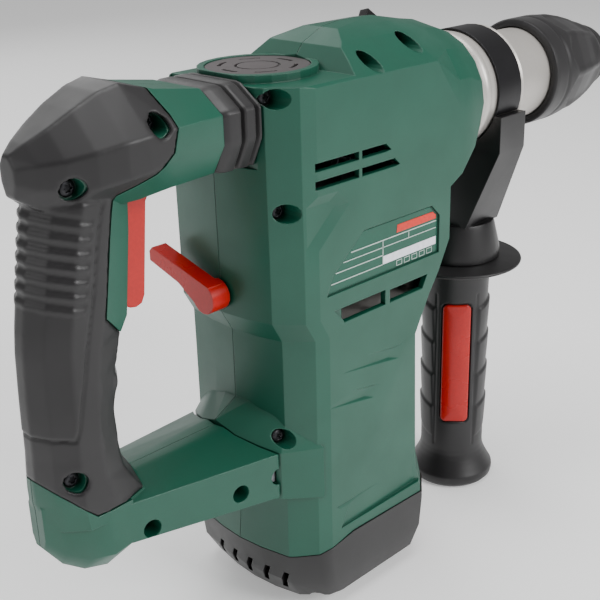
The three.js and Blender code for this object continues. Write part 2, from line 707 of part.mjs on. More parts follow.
function addMotor() {
  const shaft = join(
    turned("z", [[0, 28], [4, 28], [5, 29], [5, 139], [4, 140], [4, 142], [0, 142]], ON_MOTOR, 20),
    spurGear(PINION_TEETH, 141.5, 151.5, 0, MOTOR_X, 0),
  );
  add("armature_shaft", "steel", shaft);
  const core = ring("z", 62, 112, 5 + GAP, 21.8, ON_MOTOR);
  const grooves = Array.from({ length: 12 }, (_, i) =>
    box(19, 24, -1, 1, 60, 114).rotate([0, 0, 30 * i]).translate(ON_MOTOR),
  );
  add("armature_core", "lamination", cut(core, ...grooves));
  add("commutator", "brass", ring("z", 41, 57, 5 + GAP, 13, ON_MOTOR));
  add("cooling_fan", "dark_plastic", fan());
  add("stator_core", "lamination", statorCore());
  add("field_winding_top", "copper", ring("z", 108.8, 115, 23.2, 30.5, ON_MOTOR));
  add("field_winding_bottom", "copper", ring("z", 58, 64.7, 23.2, 30.5, ON_MOTOR));
  add("motor_bearing_lower", "steel", ring("z", 31, 38, 5 + GAP, 11, ON_MOTOR));
  add("motor_bearing_upper", "steel", ring("z", 131.5, 139, 5 + GAP, 11, ON_MOTOR));
  for (const side of [-1, 1]) addBrush(side);
}

// Laminated ring whose bore steps in to form two poles, one on each side of the armature.
function statorCore() {
  const POLE_R = 22.8;
  const YOKE_R = 30.8;
  const bore = [];
  for (let degrees = 0; degrees < 360; degrees += 9) {
    const onPole = Math.abs((degrees % 180) - 90) < 45;
    const radius = onPole ? POLE_R : YOKE_R;
    const angle = (degrees * Math.PI) / 180;
    bore.push([radius * Math.cos(angle), radius * Math.sin(angle)]);
  }
  return rod("z", 65, 108.5, 34.9, ON_MOTOR).subtract(extrude("z", bore, 60, 112).translate(ON_MOTOR));
}

function fan() {
  const disc = ring("z", 117, 118.6, 5 + GAP, 31, ON_MOTOR);
  const hub = ring("z", 117, 126, 5 + GAP, 9, ON_MOTOR);
  const blades = Array.from({ length: 10 }, (_, i) =>
    box(8.5, 30.5, -0.8, 0.8, 118, 126).rotate([0, 0, 36 * i]).translate(ON_MOTOR),
  );
  return join(disc, hub, ...blades);
}

function addBrush(side) {
  const name = side < 0 ? "right" : "left";
  const span = (from, to, w, z0, z1) =>
    side > 0 ? box(MOTOR_X - w, MOTOR_X + w, from, to, z0, z1) : box(MOTOR_X - w, MOTOR_X + w, -to, -from, z0, z1);
  const holder = span(15, 33, 6.5, 42.5, 55).subtract(span(14, 34, 4.2, 45, 52.5));
  add("brush_holder_" + name, "brass", holder);
  add("carbon_brush_" + name, "carbon", span(13.4, 28, 3.8, 45.4, 52.1));
}

// Aluminium frame that carries the upper ends of the motor, crank and intermediate shafts.
function addGearCase() {
  const base = motorCan(WALL + 0.8).intersect(box(-80, 80, -60, 60, 130, 140.5));
  const top = extrude("z", plan(-58, 44, 33), 184, 194);
  const posts = [[-38, 28], [36, 25]].flatMap(([x, y]) => [
    rod("z", 139, 186, 3, [x, y, 0]),
    rod("z", 139, 186, 3, [x, -y, 0]),
  ]);
  const seats = [
    rod("z", 131.2, 141, 11.3, ON_MOTOR),
    rod("z", 120, 150, 7, ON_MOTOR),
    rod("z", 131.5, 141, 12.3, [CRANK_X, 0, 0]),
    rod("z", 131.5, 141, 5.4, [LAY_X, 0, 0]),
    rod("z", 180, 200, 13.3, [CRANK_X, 0, 0]),
    rod("z", 180, 200, 5.4, [LAY_X, 0, 0]),
  ];
  const wellRoom = rod("y", -60, 60, 7.5, [-56.5, 0, 203]);
  add("gear_case", "aluminium", cut(join(base, top, ...posts), ...seats, wellRoom));
}

// ---------------------------------------------------------------- chuck sleeve
function addSleeve() {
  const profile = [
    [25.2, SLEEVE_START_X], [28, SLEEVE_START_X], [29.3, 156], [29.3, 172], [27.4, 184], [24.6, 195], [21.2, 206],
    [18.2, 214.5], [17.7, 214.5], [17.7, 205], [18.3, 203], [18.3, 190], [20.6, 187], [22.4, 182],
    [25.2, 176], [25.2, SLEEVE_START_X],
  ];
  add("chuck_sleeve", "black_rubber", turned("x", profile, ON_SPINDLE, 24));
  const coil = spring(175.4, 182.5, 19.8, 1.6, 3).translate(...ON_SPINDLE);
  add("sleeve_spring", "steel", asSolid(coil));
}

// ---------------------------------------------------------------- rear handle
// Section across the head or upper arm at one x: flat top, upper slope, side, lower slope, flat bottom.
function octagon(x, d, [top, topHalf], [upper, lower, half], [bottom, bottomHalf]) {
  const section = [];
  for (const side of [-1, 1]) {
    section.push([x, side * (topHalf - d * 0.4), top - d], [x, side * (half - d), upper - d * 0.4]);
    section.push([x, side * (half - d), lower + d * 0.4], [x, side * (bottomHalf - d * 0.4), bottom + d]);
  }
  return section;
}

function headAndArm(d) {
  const sections = [
    octagon(-81.6, d, [257, 15], [248, 236, 28.5], [223.5, 21]),
    octagon(-104, d, [260.5, 15], [247.5, 235, 29], [222.5, 21]),
    octagon(-118, d, [264.5, 12], [246.5, 233, 29.5], [220.5, 19]),
    octagon(-127, d, [262.5, 11], [245.5, 232, 28], [220, 17]),
    octagon(-138, d, [257.5, 10], [243.5, 230, 24], [220, 15]),
    octagon(-148, d, [252, 8], [241.5, 230.5, 18.5], [221.5, 13]),
    octagon(-156 + d * 0.4, d, [247.5, 5 + d * 0.4], [240.5, 231, 12], [223.5, 8 + d * 0.4]),
    octagon(-161.8 + d, d, [243.5, 2 + d * 0.4], [239, 233, 5 + d * 0.4], [227.5, 3 + d * 0.4]),
  ];
  return loft(coarser(sections, d));
}

// Plan section of the grip at one height.
function gripSection(z, d, back, front, half) {
  const middle = (back + front) / 2;
  return [-1, 1].flatMap((side) => [
    [back + d, side * 3, z],
    [back + 4.5 + d * 0.8, side * (half * 0.6 - d * 0.5), z],
    [back + 13, side * (half - 1 - d), z],
    [middle + 4, side * (half - d), z],
    [front - 5 - d * 0.7, side * (half - 4 - d * 0.7), z],
    [front - d, side * 6, z],
  ]);
}

function grip(d) {
  const sections = [
    gripSection(224, d, -156, -116, 20),
    gripSection(208, d, -159.5, -116.3, 18.9),
    gripSection(173, d, -166, -120, 17.8),
    gripSection(165, d, -167, -124.5, 17.5),
    gripSection(147, d, -168, -128.5, 17.7),
    gripSection(120, d, -169, -131.3, 18.3),
    gripSection(108, d, -169.8, -129.5, 19.2),
    gripSection(100, d, -170, -125, 20),
    gripSection(88, d, -168.5, -118, 20),
  ];
  return loft(coarser(sections, d));
}

// Section across the lower arm at one x.
function armSection(x, d, ridgeZ, top, low, keelZ, half) {
  return [-1, 1].flatMap((side) => [
    [x, side * 3, ridgeZ - d],
    [x, side * (half - d), top - d * 0.8],
    [x, side * (half - d), low + d * 0.8],
    [x, side * (half * 0.6), keelZ + d],
  ]);
}

function lowerArm(d) {
  const tail = loft([
    armSection(-169.5 + d, d, 100, 98, 83, 78, 5 + d),
    armSection(-164 + d * 0.5, d, 101, 99, 77, 70, 11 + d * 0.5),
    armSection(-156, d, 100, 96, 73, 65, 17),
    armSection(-146, d, 98, 95, 72, 63, 20),
    armSection(-135, d, 97.5, 94, 74, 66.5, 20),
  ]);
  const [sideY, sideX] = HINGE_FACE.at(-1);
  const front = [];
  for (const side of [-1, 1]) {
    for (const y of [6, sideY - d]) {
      front.push([sideX, side * y, ridge(y) - d], [sideX, side * y, keel(y) + 1.5 + d]);
    }
  }
  const bar = hull([...armSection(-137, d, 97, 92, 73, 68, 20), ...front]);
  return join(tail, bar).subtract(pivotLump(-JOINT_GAP - d));
}

const handleSolid = (d) => join(headAndArm(d), grip(d), lowerArm(d));

// Side view of the soft layer: it covers the head and the grip, and leaves the upper arm, the trigger
// surround and the lower arm bare.
const SOFT_OUTLINE = [
  [-185, 285],
  [-109, 285],
  [-107, 262],
  [-104, 252],
  [-104, 247],
  [-106.5, 238],
  [-115, 231.5],
  [-129.5, 225],
  [-131, 218],
  [-137, 176],
  [-129, 167],
  [-110, 160],
  [-110, 116],
  [-125.5, 104],
  [-125.5, 94],
  [-152, 93],
  [-174, 115],
  [-185, 116],
];

const HANDLE_SCREWS = [
  { x: -111, z: 249, head: -17 },
  { x: -146, z: 230.5, head: -13 },
  { x: -158, z: 110.5, head: -11 },
  { x: -126.5, z: 157.5, head: -8 },
  { x: -127.5, z: 76, head: -12 },
  { x: -82.5, z: 75, head: -17 },
];

function handleBody() {
  const outer = handleSolid(0);
  const core = handleSolid(RUBBER);
  const soft = acrossY(SOFT_OUTLINE, -SIDE_DEPTH, SIDE_DEPTH);
  const green = join(outer.subtract(soft), core);
  const hollow = handleSolid(RUBBER + WALL - 0.6);
  const armHollow = headAndArm(WALL).intersect(box(-100, -70, -60, 60, 200, 280));
  const bosses = join(...HANDLE_SCREWS.map((screw) => handleBoss(screw, green)));
  const wall = box(-95.5, -92.5, -40, 40, 200, 280).intersect(headAndArm(1));
  const eye = join(
    rod("y", -24, 24, 8.5, [HINGE[0], 0, HINGE[1]]),
    box(-82, HINGE[0], -24, 24, 68.5, 83.5),
  );
  const shell = join(green.subtract(join(hollow, armHollow)), bosses, wall, eye);
  const pinHole = rod("y", -40, 40, 4.4, [HINGE[0], 0, HINGE[1]]);
  const springRoom = rod("x", -92.4, -60, 10.5, [0, 0, 238]);
  const triggerSlot = box(-136, -100, -8.3, 8.3, 168.4, 225.6);
  const pivotHole = rod("y", -12, 12, 2.4, [TRIGGER_PIVOT[0], 0, TRIGGER_PIVOT[1]]);
  const gland = rod("z", 50, 78, 6.4, [-148, 0, 0]);
  const screws = join(...HANDLE_SCREWS.map(screwHole));
  return cut(shell, pinHole, springRoom, triggerSlot, pivotHole, gland, screws);
}

function handleBoss({ x, z, head }, shell) {
  const at = [x, 0, z];
  return join(rod("y", -30, 30, 4.4, at), rod("y", -60, head + 2.5, 6.2, at)).intersect(shell);
}

function softLayer() {
  const outline = acrossY(SOFT_OUTLINE, -SIDE_DEPTH, SIDE_DEPTH);
  const blank = handleSolid(0).intersect(outline).subtract(handleSolid(RUBBER - GAP));
  const bare = handleSolid(0).subtract(outline);
  const clear = acrossY([[-139, 225], [-139, 165], [-100, 165], [-100, 225]], -8.3, 8.3);
  const screws = join(...HANDLE_SCREWS.map(({ x, z }) => rod("y", -60, 0, 4.6, [x, 0, z])));
  return { solid: cut(blank, screws, clear), bare };
}

function addHandle() {
  const body = handleBody();
  const soft = softLayer().solid;
  const half = GAP / 2;
  const rightSide = box(-200, 0, -70, -half, 0, 300);
  const leftSide = box(-200, 0, half, 70, 0, 300);
  add("handle_right", "green_plastic", body.intersect(rightSide));
  add("handle_left", "green_plastic", body.intersect(leftSide));
  add("grip_cover_right", "black_rubber", shrunkEdge(soft).intersect(rightSide));
  add("grip_cover_left", "black_rubber", shrunkEdge(soft).intersect(leftSide));
  addScrew("handle_screw", HANDLE_SCREWS[2]);
}

// Keeps the soft layer's edges just clear of the hard plastic beside them.
function shrunkEdge(soft) {
  const shift = 0.25;
  const moved = [[-shift, shift], [-shift, -shift], [-shift, 0]].map(([dx, dz]) => {
    const outline = SOFT_OUTLINE.map(([x, z]) => [x + dx, z + dz]);
    return acrossY(outline, -SIDE_DEPTH, SIDE_DEPTH);
  });
  return moved.reduce((solid, region) => solid.intersect(region), soft);
}

function addTrigger() {
  const [px, pz] = TRIGGER_PIVOT;
  const blade = acrossY(
    [
      [-128, 214], [-126, 218.5], [-104.3, 221], [-104.3, 219.5], [-107, 215], [-111.4, 176],
      [-113, 172.8], [-116, 171.8], [-119, 172.4], [-125, 176],
    ],
    -7.7,
    7.7,
  );
  const eye = rod("y", -7.7, 7.7, 4, [px, 0, pz]);
  const studs = rod("y", -11, 11, 2, [px, 0, pz]);
  const pocket = box(-127, -115, -6, 6, 178, 210);
  add("trigger", "red_plastic", join(cut(join(blade, eye), pocket), studs));
  add("switch_body", "dark_plastic", box(-149, -133, -9.5, 9.5, 178, 208));
}

function addMounting() {
  add("pivot_pin", "steel", rod("y", -28, 28, 3.8, [HINGE[0], 0, HINGE[1]]));
  const coil = spring(-91.5, -61.5, 8, 2, 5).translate(0, 0, 238);
  add("damper_spring", "steel", asSolid(coil));
  const slices = [
    [-81.1, 1.6], [-79.6, 0.3], [-77.6, -0.9], [-72.6, -0.9], [-70.9, 1.8], [-69.2, -0.9], [-64, -0.9], [-62.6, 0.6],
    [-60.9, 1.0],
  ];
  const section = (x, d) => octagon(x, d, [257, 16], [248.5, 235.5, 28.5], [222, 22]);
  const outer = loft(slices.map(([x, d]) => section(x, d)));
  const inner = hull([...section(-82, 4.2), ...section(-60, 4.2)]);
  add("bellows", "black_rubber", outer.subtract(inner));
  add("cord_gland", "black_rubber", ring("z", 62.6, 76, 3.6, 6, [-148, 0, 0]));
}

// ---------------------------------------------------------------- mode controls
function addControls() {
  const hub = rod("x", -75, -65.3, 7.2, [0, 0, LEVER_Z]);
  const outline = [
    [-4, 6.2], [35, 16.2], [37.2, 14], [37.2, 9.4], [17, 3.4], [7, -3], [4, -5.5], [-4, -5.5],
  ];
  const blade = extrude("x", outline.map(([y, z]) => [y, LEVER_Z + z]), -75, -67);
  const shaft = rod("x", -66, -56, 4, [0, 0, LEVER_Z]);
  add("mode_lever", "red_plastic", join(hub, blade, shaft));
  const { x, z, r, turn } = KNOB;
  const disc = rod("y", 41.4, 45, r);
  const bar = hull([
    [-10, 44, r + 2], [10, 44, r + 2], [-5, 44, 2 - r], [5, 44, 2 - r],
    [-9, 50, r + 1], [9, 50, r + 1], [-4, 50, 3 - r], [4, 50, 3 - r],
  ]);
  const spigot = rod("y", 32, 42, 5);
  add("mode_knob", "dark_plastic", join(disc, bar, spigot).rotate([0, turn, 0]).translate([x, 0, z]));
}

// ---------------------------------------------------------------- side handle
const DISC_Z = 131;
const GRIP_END_Z = -7.5;

function addSideHandle() {
  const [x0, x1] = [SIDE_X - STRAP_WIDTH / 2, SIDE_X + STRAP_WIDTH / 2];
  const band = ring("x", x0, x1, COLLAR_R + 0.1, COLLAR_R + 1.1, ON_SPINDLE, 40);
  const below = box(x0 - 1, x1 + 1, -60, 60, 150, 215.8);
  add("side_strap", "black_steel", band.subtract(below));
  const block = (y, z, lower) => [[x0 - lower, -y, z], [x0 - lower, y, z], [x1 + lower, -y, z], [x1 + lower, y, z]];
  const yoke = loft([
    [...block(33.5, 215.5, 1.2)],
    [...block(33.5, 197, 1.2)],
    [...block(16, 153, 5)],
  ]);
  const saddle = rod("x", x0 - 10, x1 + 10, COLLAR_R + 0.9, ON_SPINDLE, 56);
  const collar = turned("z", [[0, 153.5], [19.5, 153.5], [20.3, 151], [23.4, 138], [23.4, 132.6], [0, 132.6]],
    [SIDE_X, 0, 0], 32);
  const boltHole = rod("z", 120, 200, 4.6, [SIDE_X, 0, 0]);
  add("clamp_yoke", "dark_plastic", cut(join(yoke, collar), saddle, boltHole));
  add("clamp_bolt", "steel", rod("z", 60, 190, 4, [SIDE_X, 0, 0]));
  addSideGrip();
}

function addSideGrip() {
  const at = [SIDE_X, 0, 0];
  const outer = turned(
    "z",
    [
      [0, GRIP_END_Z], [21, GRIP_END_Z], [24, GRIP_END_Z + 2], [24.5, -1], [21, 5], [18.5, 11], [18.3, 60],
      [18.6, 118], [19.5, DISC_Z - 2.4], [34.8, DISC_Z - 1.8], [35.7, DISC_Z - 1.1], [35.7, DISC_Z - 0.4],
      [34.8, DISC_Z], [22, DISC_Z + 1.2], [0, DISC_Z + 1.2],
    ],
    at,
    24,
  );
  const bore = rod("z", 58, 140, 4.4, at);
  const window = insetBox(0.4, 0.2);
  add("side_grip", "black_rubber", cut(outer, bore, window));
  add("side_grip_insert", "red_plastic", insetBox(0, 0).intersect(rod("z", 0, 120, 18.9, at)));
}

// Red panel let into the back-right face of the grip.
function insetBox(grow, deep) {
  const panel = box(14 - deep, 24, -8.5 - grow, 8.5 + grow, 33.5 - grow, 107.5 + grow);
  return panel.rotate([0, 0, -139]).translate([SIDE_X, 0, 0]);
}

addHousing();
addEndCap();
addGreaseCap();
addCollar();
addSpindle();
addStrikingParts();
addConnectingRod();
addBevelRing();
addLayShaft();
addCrank();
addMotor();
addGearCase();
addSleeve();
addHandle();
addTrigger();
addMounting();
addControls();
addSideHandle();

export default hammer;
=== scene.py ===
import json
import math

import bmesh
import bpy
import numpy as np
from mathutils import Matrix, Vector


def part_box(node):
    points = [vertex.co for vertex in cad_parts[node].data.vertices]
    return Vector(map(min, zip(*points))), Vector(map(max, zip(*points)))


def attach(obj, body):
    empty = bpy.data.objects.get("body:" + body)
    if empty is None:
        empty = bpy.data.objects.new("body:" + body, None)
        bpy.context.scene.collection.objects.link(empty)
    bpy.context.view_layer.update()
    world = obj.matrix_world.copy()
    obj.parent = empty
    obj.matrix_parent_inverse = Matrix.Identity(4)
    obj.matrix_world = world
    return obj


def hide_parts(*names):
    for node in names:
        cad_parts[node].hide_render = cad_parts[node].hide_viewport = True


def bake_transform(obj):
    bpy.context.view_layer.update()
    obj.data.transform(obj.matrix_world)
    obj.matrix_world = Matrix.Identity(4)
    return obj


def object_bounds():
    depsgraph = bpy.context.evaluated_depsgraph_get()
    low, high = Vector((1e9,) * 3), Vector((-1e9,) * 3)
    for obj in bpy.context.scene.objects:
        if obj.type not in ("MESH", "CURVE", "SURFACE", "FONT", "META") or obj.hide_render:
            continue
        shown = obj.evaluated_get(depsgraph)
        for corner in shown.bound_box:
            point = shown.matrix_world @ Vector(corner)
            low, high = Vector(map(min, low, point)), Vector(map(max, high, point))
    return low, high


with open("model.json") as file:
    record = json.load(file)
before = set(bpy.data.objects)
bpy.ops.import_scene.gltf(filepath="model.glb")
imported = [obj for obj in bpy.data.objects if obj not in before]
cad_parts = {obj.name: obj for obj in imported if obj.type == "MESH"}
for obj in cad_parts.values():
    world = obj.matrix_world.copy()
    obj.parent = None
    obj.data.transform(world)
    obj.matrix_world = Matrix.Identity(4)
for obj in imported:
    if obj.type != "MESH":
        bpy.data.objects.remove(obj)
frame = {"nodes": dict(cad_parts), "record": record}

CAD_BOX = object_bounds()

bl_info = {
    "name": "Rotary Hammer Finish",
    "version": (1, 0, 0),
    "blender": (4, 5, 0),
    "location": "View3D > Sidebar > Hammer",
    "description": "Clads the rotary hammer's frame in finished plastic, rubber and metal pieces",
    "category": "Object",
}

MM = 0.001
NODES = frame["nodes"]
BODY_OF = {node: body for body, nodes in frame["record"]["behaviour"]["bodies"].items() for node in nodes}
SLOT_OF = {part["node"]: part["material_slot"] for part in frame["record"]["subparts"]}
SPINDLE_Z = sum(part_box("spindle_tube")[i].z for i in (0, 1)) / 2 / MM


# ---------------------------------------------------------------- colour and materials
def linear(code):
    """An sRGB hex colour as linear RGBA."""
    channels = [int(code[i:i + 2], 16) / 255 for i in (0, 2, 4)]
    return tuple(c / 12.92 if c <= 0.04045 else ((c + 0.055) / 1.055) ** 2.4 for c in channels) + (1.0,)


def put(tree, kind, settings=None, links=None):
    """Adds a shader node, sets its properties or sockets and links its inputs."""
    node = tree.nodes.new("ShaderNode" + kind)
    for key, value in (settings or {}).items():
        if isinstance(key, str) and hasattr(node, key):
            setattr(node, key, value)
        else:
            node.inputs[key].default_value = value
    for key, socket in (links or {}).items():
        tree.links.new(socket, node.inputs[key])
    return node


# Each finish: colours of the body, its shaded patches and its worn edges; grain size and depth in mm;
# stretch draws the grain out along an axis; wear is how far the edges take the worn colour.
# Real moulded grain is 0.05 to 0.2 mm across, and turning and grinding lines are finer still. They are drawn
# at the sizes given here, as coarse as they need to be to show.
FINISHES = {
    # Glass-filled nylon, injection moulded in a spark-eroded tool: even satin with a fine pebbled grain,
    # and corners rubbed slightly paler and smoother.
    "nylon_green": dict(base="045440", shade="034433", worn="357D65", roughness=0.38, ior=1.53,
                        grain=0.45, depth=0.014, wear=0.35),
    # The same nylon in black for fan cover, knob and clamp block: greyer where handled.
    "nylon_black": dict(base="141214", shade="0E0D0E", worn="3C383B", roughness=0.36, ior=1.53,
                        grain=0.5, depth=0.016, wear=0.4),
    # Grey-brown nylon of the grease cap: dull and slightly dusty.
    "nylon_grey": dict(base="4C4647", shade="3C3738", worn="857C7B", roughness=0.5, ior=1.53,
                       grain=0.5, depth=0.014, wear=0.5),
    # Thermoplastic elastomer, overmoulded: soft dull sheen, finer grain than the nylon and dusty ridges.
    "elastomer_black": dict(base="1B191B", shade="131213", worn="3E3A39", roughness=0.42, ior=1.5,
                            grain=0.35, depth=0.012, wear=0.35, sheen=0.05),
    # Acetal, injection moulded in a polished tool: bright red with a clear soft highlight.
    "acetal_red": dict(base="C20C02", shade="A50A02", worn="D24336", roughness=0.3, ior=1.48,
                       grain=1.2, depth=0.008, wear=0.3),
    # Aluminium, die cast, turned and bead blasted: pale grey with faint turning rings.
    "aluminium_blasted": dict(base="D3CFCA", shade="BDB8B2", worn="ECEAE6", roughness=0.42, ior=1.5,
                              metallic=0.55, grain=0.4, depth=0.012, wear=0.5, stretch=(9.0, 1.0, 1.0)),
    # Hardened steel, turned and ground: darker, tighter highlights with fine grinding lines.
    "steel_ground": dict(base="8B8D92", shade="74767A", worn="B4B6BA", roughness=0.28, ior=1.5,
                         metallic=1.0, grain=0.3, depth=0.006, wear=0.5, stretch=(8.0, 1.0, 1.0)),
    # Carbon steel screws, heat blackened in oil: near-black with a dull metal glint.
    "steel_blackened": dict(base="3A3A3D", shade="2B2B2D", worn="7C7C80", roughness=0.36, ior=1.5,
                            metallic=0.9, grain=0.5, depth=0.006, wear=0.5),
    # Spring steel band, stoved black: smooth satin skin, with bare grey showing at the edges.
    "steel_stoved": dict(base="19181B", shade="121113", worn="5C5C60", roughness=0.36, ior=1.5,
                         metallic=0.35, grain=0.8, depth=0.01, wear=0.55),
    # Electrical steel sheets, stacked and varnished: brown-grey with the stack's fine lines.
    "steel_laminated": dict(base="5C5B5C", shade="3F3E3F", worn="8A898A", roughness=0.45, ior=1.5,
                            metallic=0.8, grain=0.5, depth=0.05, wear=0.3, stretch=(0.1, 0.1, 6.0)),
    # Enamelled copper wire, wound and varnished: warm brown with wire ridges.
    "copper_wound": dict(base="A85C30", shade="83421F", worn="C98A5C", roughness=0.3, ior=1.5,
                         metallic=0.75, grain=0.9, depth=0.12, wear=0.2, stretch=(0.2, 0.2, 2.5)),
    # Brass, pressed: yellow metal with soft rolled streaks.
    "brass_pressed": dict(base="BE9A55", shade="9D7C40", worn="DCC08A", roughness=0.32, ior=1.5,
                          metallic=1.0, grain=0.6, depth=0.01, wear=0.4, stretch=(1.0, 1.0, 5.0)),
    # Carbon, pressed and sintered: matt near-black with a porous surface.
    "carbon_pressed": dict(base="252527", shade="1A1A1C", worn="4A4A4C", roughness=0.7, ior=1.5,
                           grain=0.3, depth=0.03, wear=0.3),
    # Vinyl film, printed white: smooth, very slightly bluish and glossy.
    "vinyl_white": dict(base="F0F1F8", shade="E4E6F0", worn="F2F3F8", roughness=0.3, ior=1.46,
                        grain=2.0, depth=0.004, wear=0.1),
    # Vinyl film, printed green, as the ground of the rating label.
    "vinyl_green": dict(base="065642", shade="044937", worn="357D65", roughness=0.3, ior=1.46,
                        grain=2.0, depth=0.004, wear=0.1),
    # Vinyl film, printed red.
    "vinyl_red": dict(base="E02A12", shade="CE240F", worn="E87860", roughness=0.3, ior=1.46,
                      grain=2.0, depth=0.004, wear=0.1),
    # Vinyl film, fine pale ruling lines.
    "vinyl_pale": dict(base="C4D6CE", shade="B6CAC1", worn="DCE6E1", roughness=0.3, ior=1.46,
                       grain=2.0, depth=0.004, wear=0.1),
}
EDGE_RADIUS = 0.7 * MM
EDGE_SAMPLES = 4
PATCH_MM = 38.0  # size of the uneven patches that handling leaves
PAINTED_SHADE_MM = 2.5  # how far the painted shade of an inside corner reaches out of the corner
PAINTED_SHADE_LEFT = 0.55  # brightness that the painted shade leaves in the deepest corner
SPECKLE = 0.07  # how far the grain lightens and darkens the colour
POLISHED, DULLED = 0.06, 0.08  # how far the patches take the roughness down and up
GRAIN_STRENGTH = 0.6
NO_STRETCH = (1.0, 1.0, 1.0)


def finish_material(name):
    """The node material of one finish, made once."""
    if name in bpy.data.materials:
        return bpy.data.materials[name]
    look = FINISHES[name]
    material = bpy.data.materials.new(name)
    material.use_nodes = True
    tree = material.node_tree
    shader = tree.nodes["Principled BSDF"]
    place = put(tree, "TexCoord").outputs["Object"]
    patches = put(
        tree, "TexNoise", {"Scale": 1 / (PATCH_MM * MM), "Detail": 4.0, "Roughness": 0.62},
        {"Vector": place},
    )
    stretched = put(tree, "Mapping", {"Scale": look.get("stretch", NO_STRETCH)}, {"Vector": place})
    grain = put(
        tree, "TexNoise", {"Scale": 1 / (look["grain"] * MM), "Detail": 2.0},
        {"Vector": stretched.outputs["Vector"]},
    )
    body = put(
        tree, "Mix", {"data_type": "RGBA", 6: linear(look["base"]), 7: linear(look["shade"])},
        {0: patches.outputs["Fac"]},
    )
    speckle = put(
        tree, "MapRange", {"From Min": 0.3, "From Max": 0.7, "To Min": 1 - SPECKLE, "To Max": 1 + SPECKLE},
        {"Value": grain.outputs["Fac"]},
    )
    speckled = put(
        tree, "Mix", {"data_type": "RGBA", "blend_type": "MULTIPLY", 0: 1.0},
        {6: body.outputs[2], 7: speckle.outputs["Result"]},
    )
    rounded = put(tree, "Bevel", {"samples": EDGE_SAMPLES, "Radius": EDGE_RADIUS})
    true_normal = put(tree, "NewGeometry").outputs["Normal"]
    alike = put(
        tree, "VectorMath", {"operation": "DOT_PRODUCT"},
        {0: rounded.outputs["Normal"], 1: true_normal},
    )
    edges = put(
        tree, "MapRange", {"From Min": 0.995, "From Max": 0.9, "To Min": 0.0, "To Max": look["wear"]},
        {"Value": alike.outputs["Value"]},
    )
    rubbed = put(
        tree, "MapRange", {"From Min": 0.38, "From Max": 0.62},
        {"Value": patches.outputs["Fac"]},
    )
    worn = put(
        tree, "Math", {"operation": "MULTIPLY"},
        {0: edges.outputs["Result"], 1: rubbed.outputs["Result"]},
    )
    coloured = put(
        tree, "Mix", {"data_type": "RGBA", 7: linear(look["worn"])},
        {0: worn.outputs["Value"], 6: speckled.outputs[2]},
    )
    # Painted shade: ambient occlusion darkens the colour in inside corners and crevices, standing in for the shade
    # that falls there.
    corners = put(tree, "AmbientOcclusion", {"samples": EDGE_SAMPLES, "Distance": PAINTED_SHADE_MM * MM})
    painted_shade = put(
        tree, "MapRange", {"From Min": 0.35, "From Max": 0.95, "To Min": PAINTED_SHADE_LEFT, "To Max": 1.0},
        {"Value": corners.outputs["AO"]},
    )
    final = put(
        tree, "Mix", {"data_type": "RGBA", "blend_type": "MULTIPLY", 0: 1.0},
        {6: coloured.outputs[2], 7: painted_shade.outputs["Result"]},
    )
    tree.links.new(final.outputs[2], shader.inputs["Base Color"])
    low, high = look["roughness"] - POLISHED, look["roughness"] + DULLED
    polish = put(
        tree, "MapRange", {"From Min": 0.3, "From Max": 0.7, "To Min": low, "To Max": high},
        {"Value": patches.outputs["Fac"]},
    )
    tree.links.new(polish.outputs["Result"], shader.inputs["Roughness"])
    bump = put(
        tree, "Bump", {"Strength": GRAIN_STRENGTH, "Distance": look["depth"] * MM},
        {"Height": grain.outputs["Fac"], "Normal": rounded.outputs["Normal"]},
    )
    tree.links.new(bump.outputs["Normal"], shader.inputs["Normal"])
    shader.inputs["Metallic"].default_value = look.get("metallic", 0.0)
    shader.inputs["IOR"].default_value = look["ior"]
    shader.inputs["Sheen Weight"].default_value = look.get("sheen", 0.0)
    return material


# ---------------------------------------------------------------- making pieces
def add_piece(name, mesh, finishes, body, replaced=()):
    """Links a finished mesh, rides it on its body, if one is given, and hides the nodes that it stands for."""
    piece = bpy.data.objects.new(name, mesh)
    bpy.context.scene.collection.objects.link(piece)
    for finish in finishes:
        mesh.materials.append(finish_material(finish))
    if body:
        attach(piece, body)
    if replaced:
        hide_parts(*replaced)
    return piece


def smooth(mesh, angle):
    """Smooth shading with sharp edges kept above an angle in degrees."""
    mesh.polygons.foreach_set("use_smooth", [True] * len(mesh.polygons))
    mesh.set_sharp_from_angle(angle=math.radians(angle))
    mesh.update()


WELD = 0.002 * MM
FACE_WEIGHT = 100


def node_mesh(node):
    """A copy of a frame node's mesh with its split corners joined."""
    mesh = NODES[node].data.copy()
    shape = bmesh.new()
    shape.from_mesh(mesh)
    bmesh.ops.remove_doubles(shape, verts=shape.verts, dist=WELD)
    bmesh.ops.recalc_face_normals(shape, faces=shape.faces)
    shape.to_mesh(mesh)
    shape.free()
    if "custom_normal" in mesh.attributes:
        mesh.attributes.remove(mesh.attributes["custom_normal"])
    mesh.materials.clear()
    return mesh


def skin(node, finish, angle=33):
    """A smooth-shaded finished piece over a frame node."""
    mesh = node_mesh(node)
    smooth(mesh, angle)
    piece = add_piece(node + "_shell", mesh, [finish], BODY_OF[node], [node])
    weighting = piece.modifiers.new("Face weighting", "WEIGHTED_NORMAL")
    weighting.keep_sharp = True
    weighting.weight = FACE_WEIGHT


def finished_mesh(name, shape):
    """Turns a bmesh's faces outwards and makes it a mesh."""
    bmesh.ops.recalc_face_normals(shape, faces=shape.faces)
    mesh = bpy.data.meshes.new(name)
    shape.to_mesh(mesh)
    shape.free()
    return mesh


def rings_mesh(name, rows, looped=False):
    """A mesh through rings of points in mm, capped at both ends, or looped back from the last to the first."""
    shape = bmesh.new()
    rings = [[shape.verts.new([c * MM for c in p]) for p in row] for row in rows]
    for a, b in zip(rings, rings[1:] + rings[:1] if looped else rings[1:]):
        for i in range(len(a)):
            j = (i + 1) % len(a)
            shape.faces.new((a[i], a[j], b[j], b[i]))
    if not looped:
        shape.faces.new(rings[0])
        shape.faces.new(rings[-1])
    return finished_mesh(name, shape)


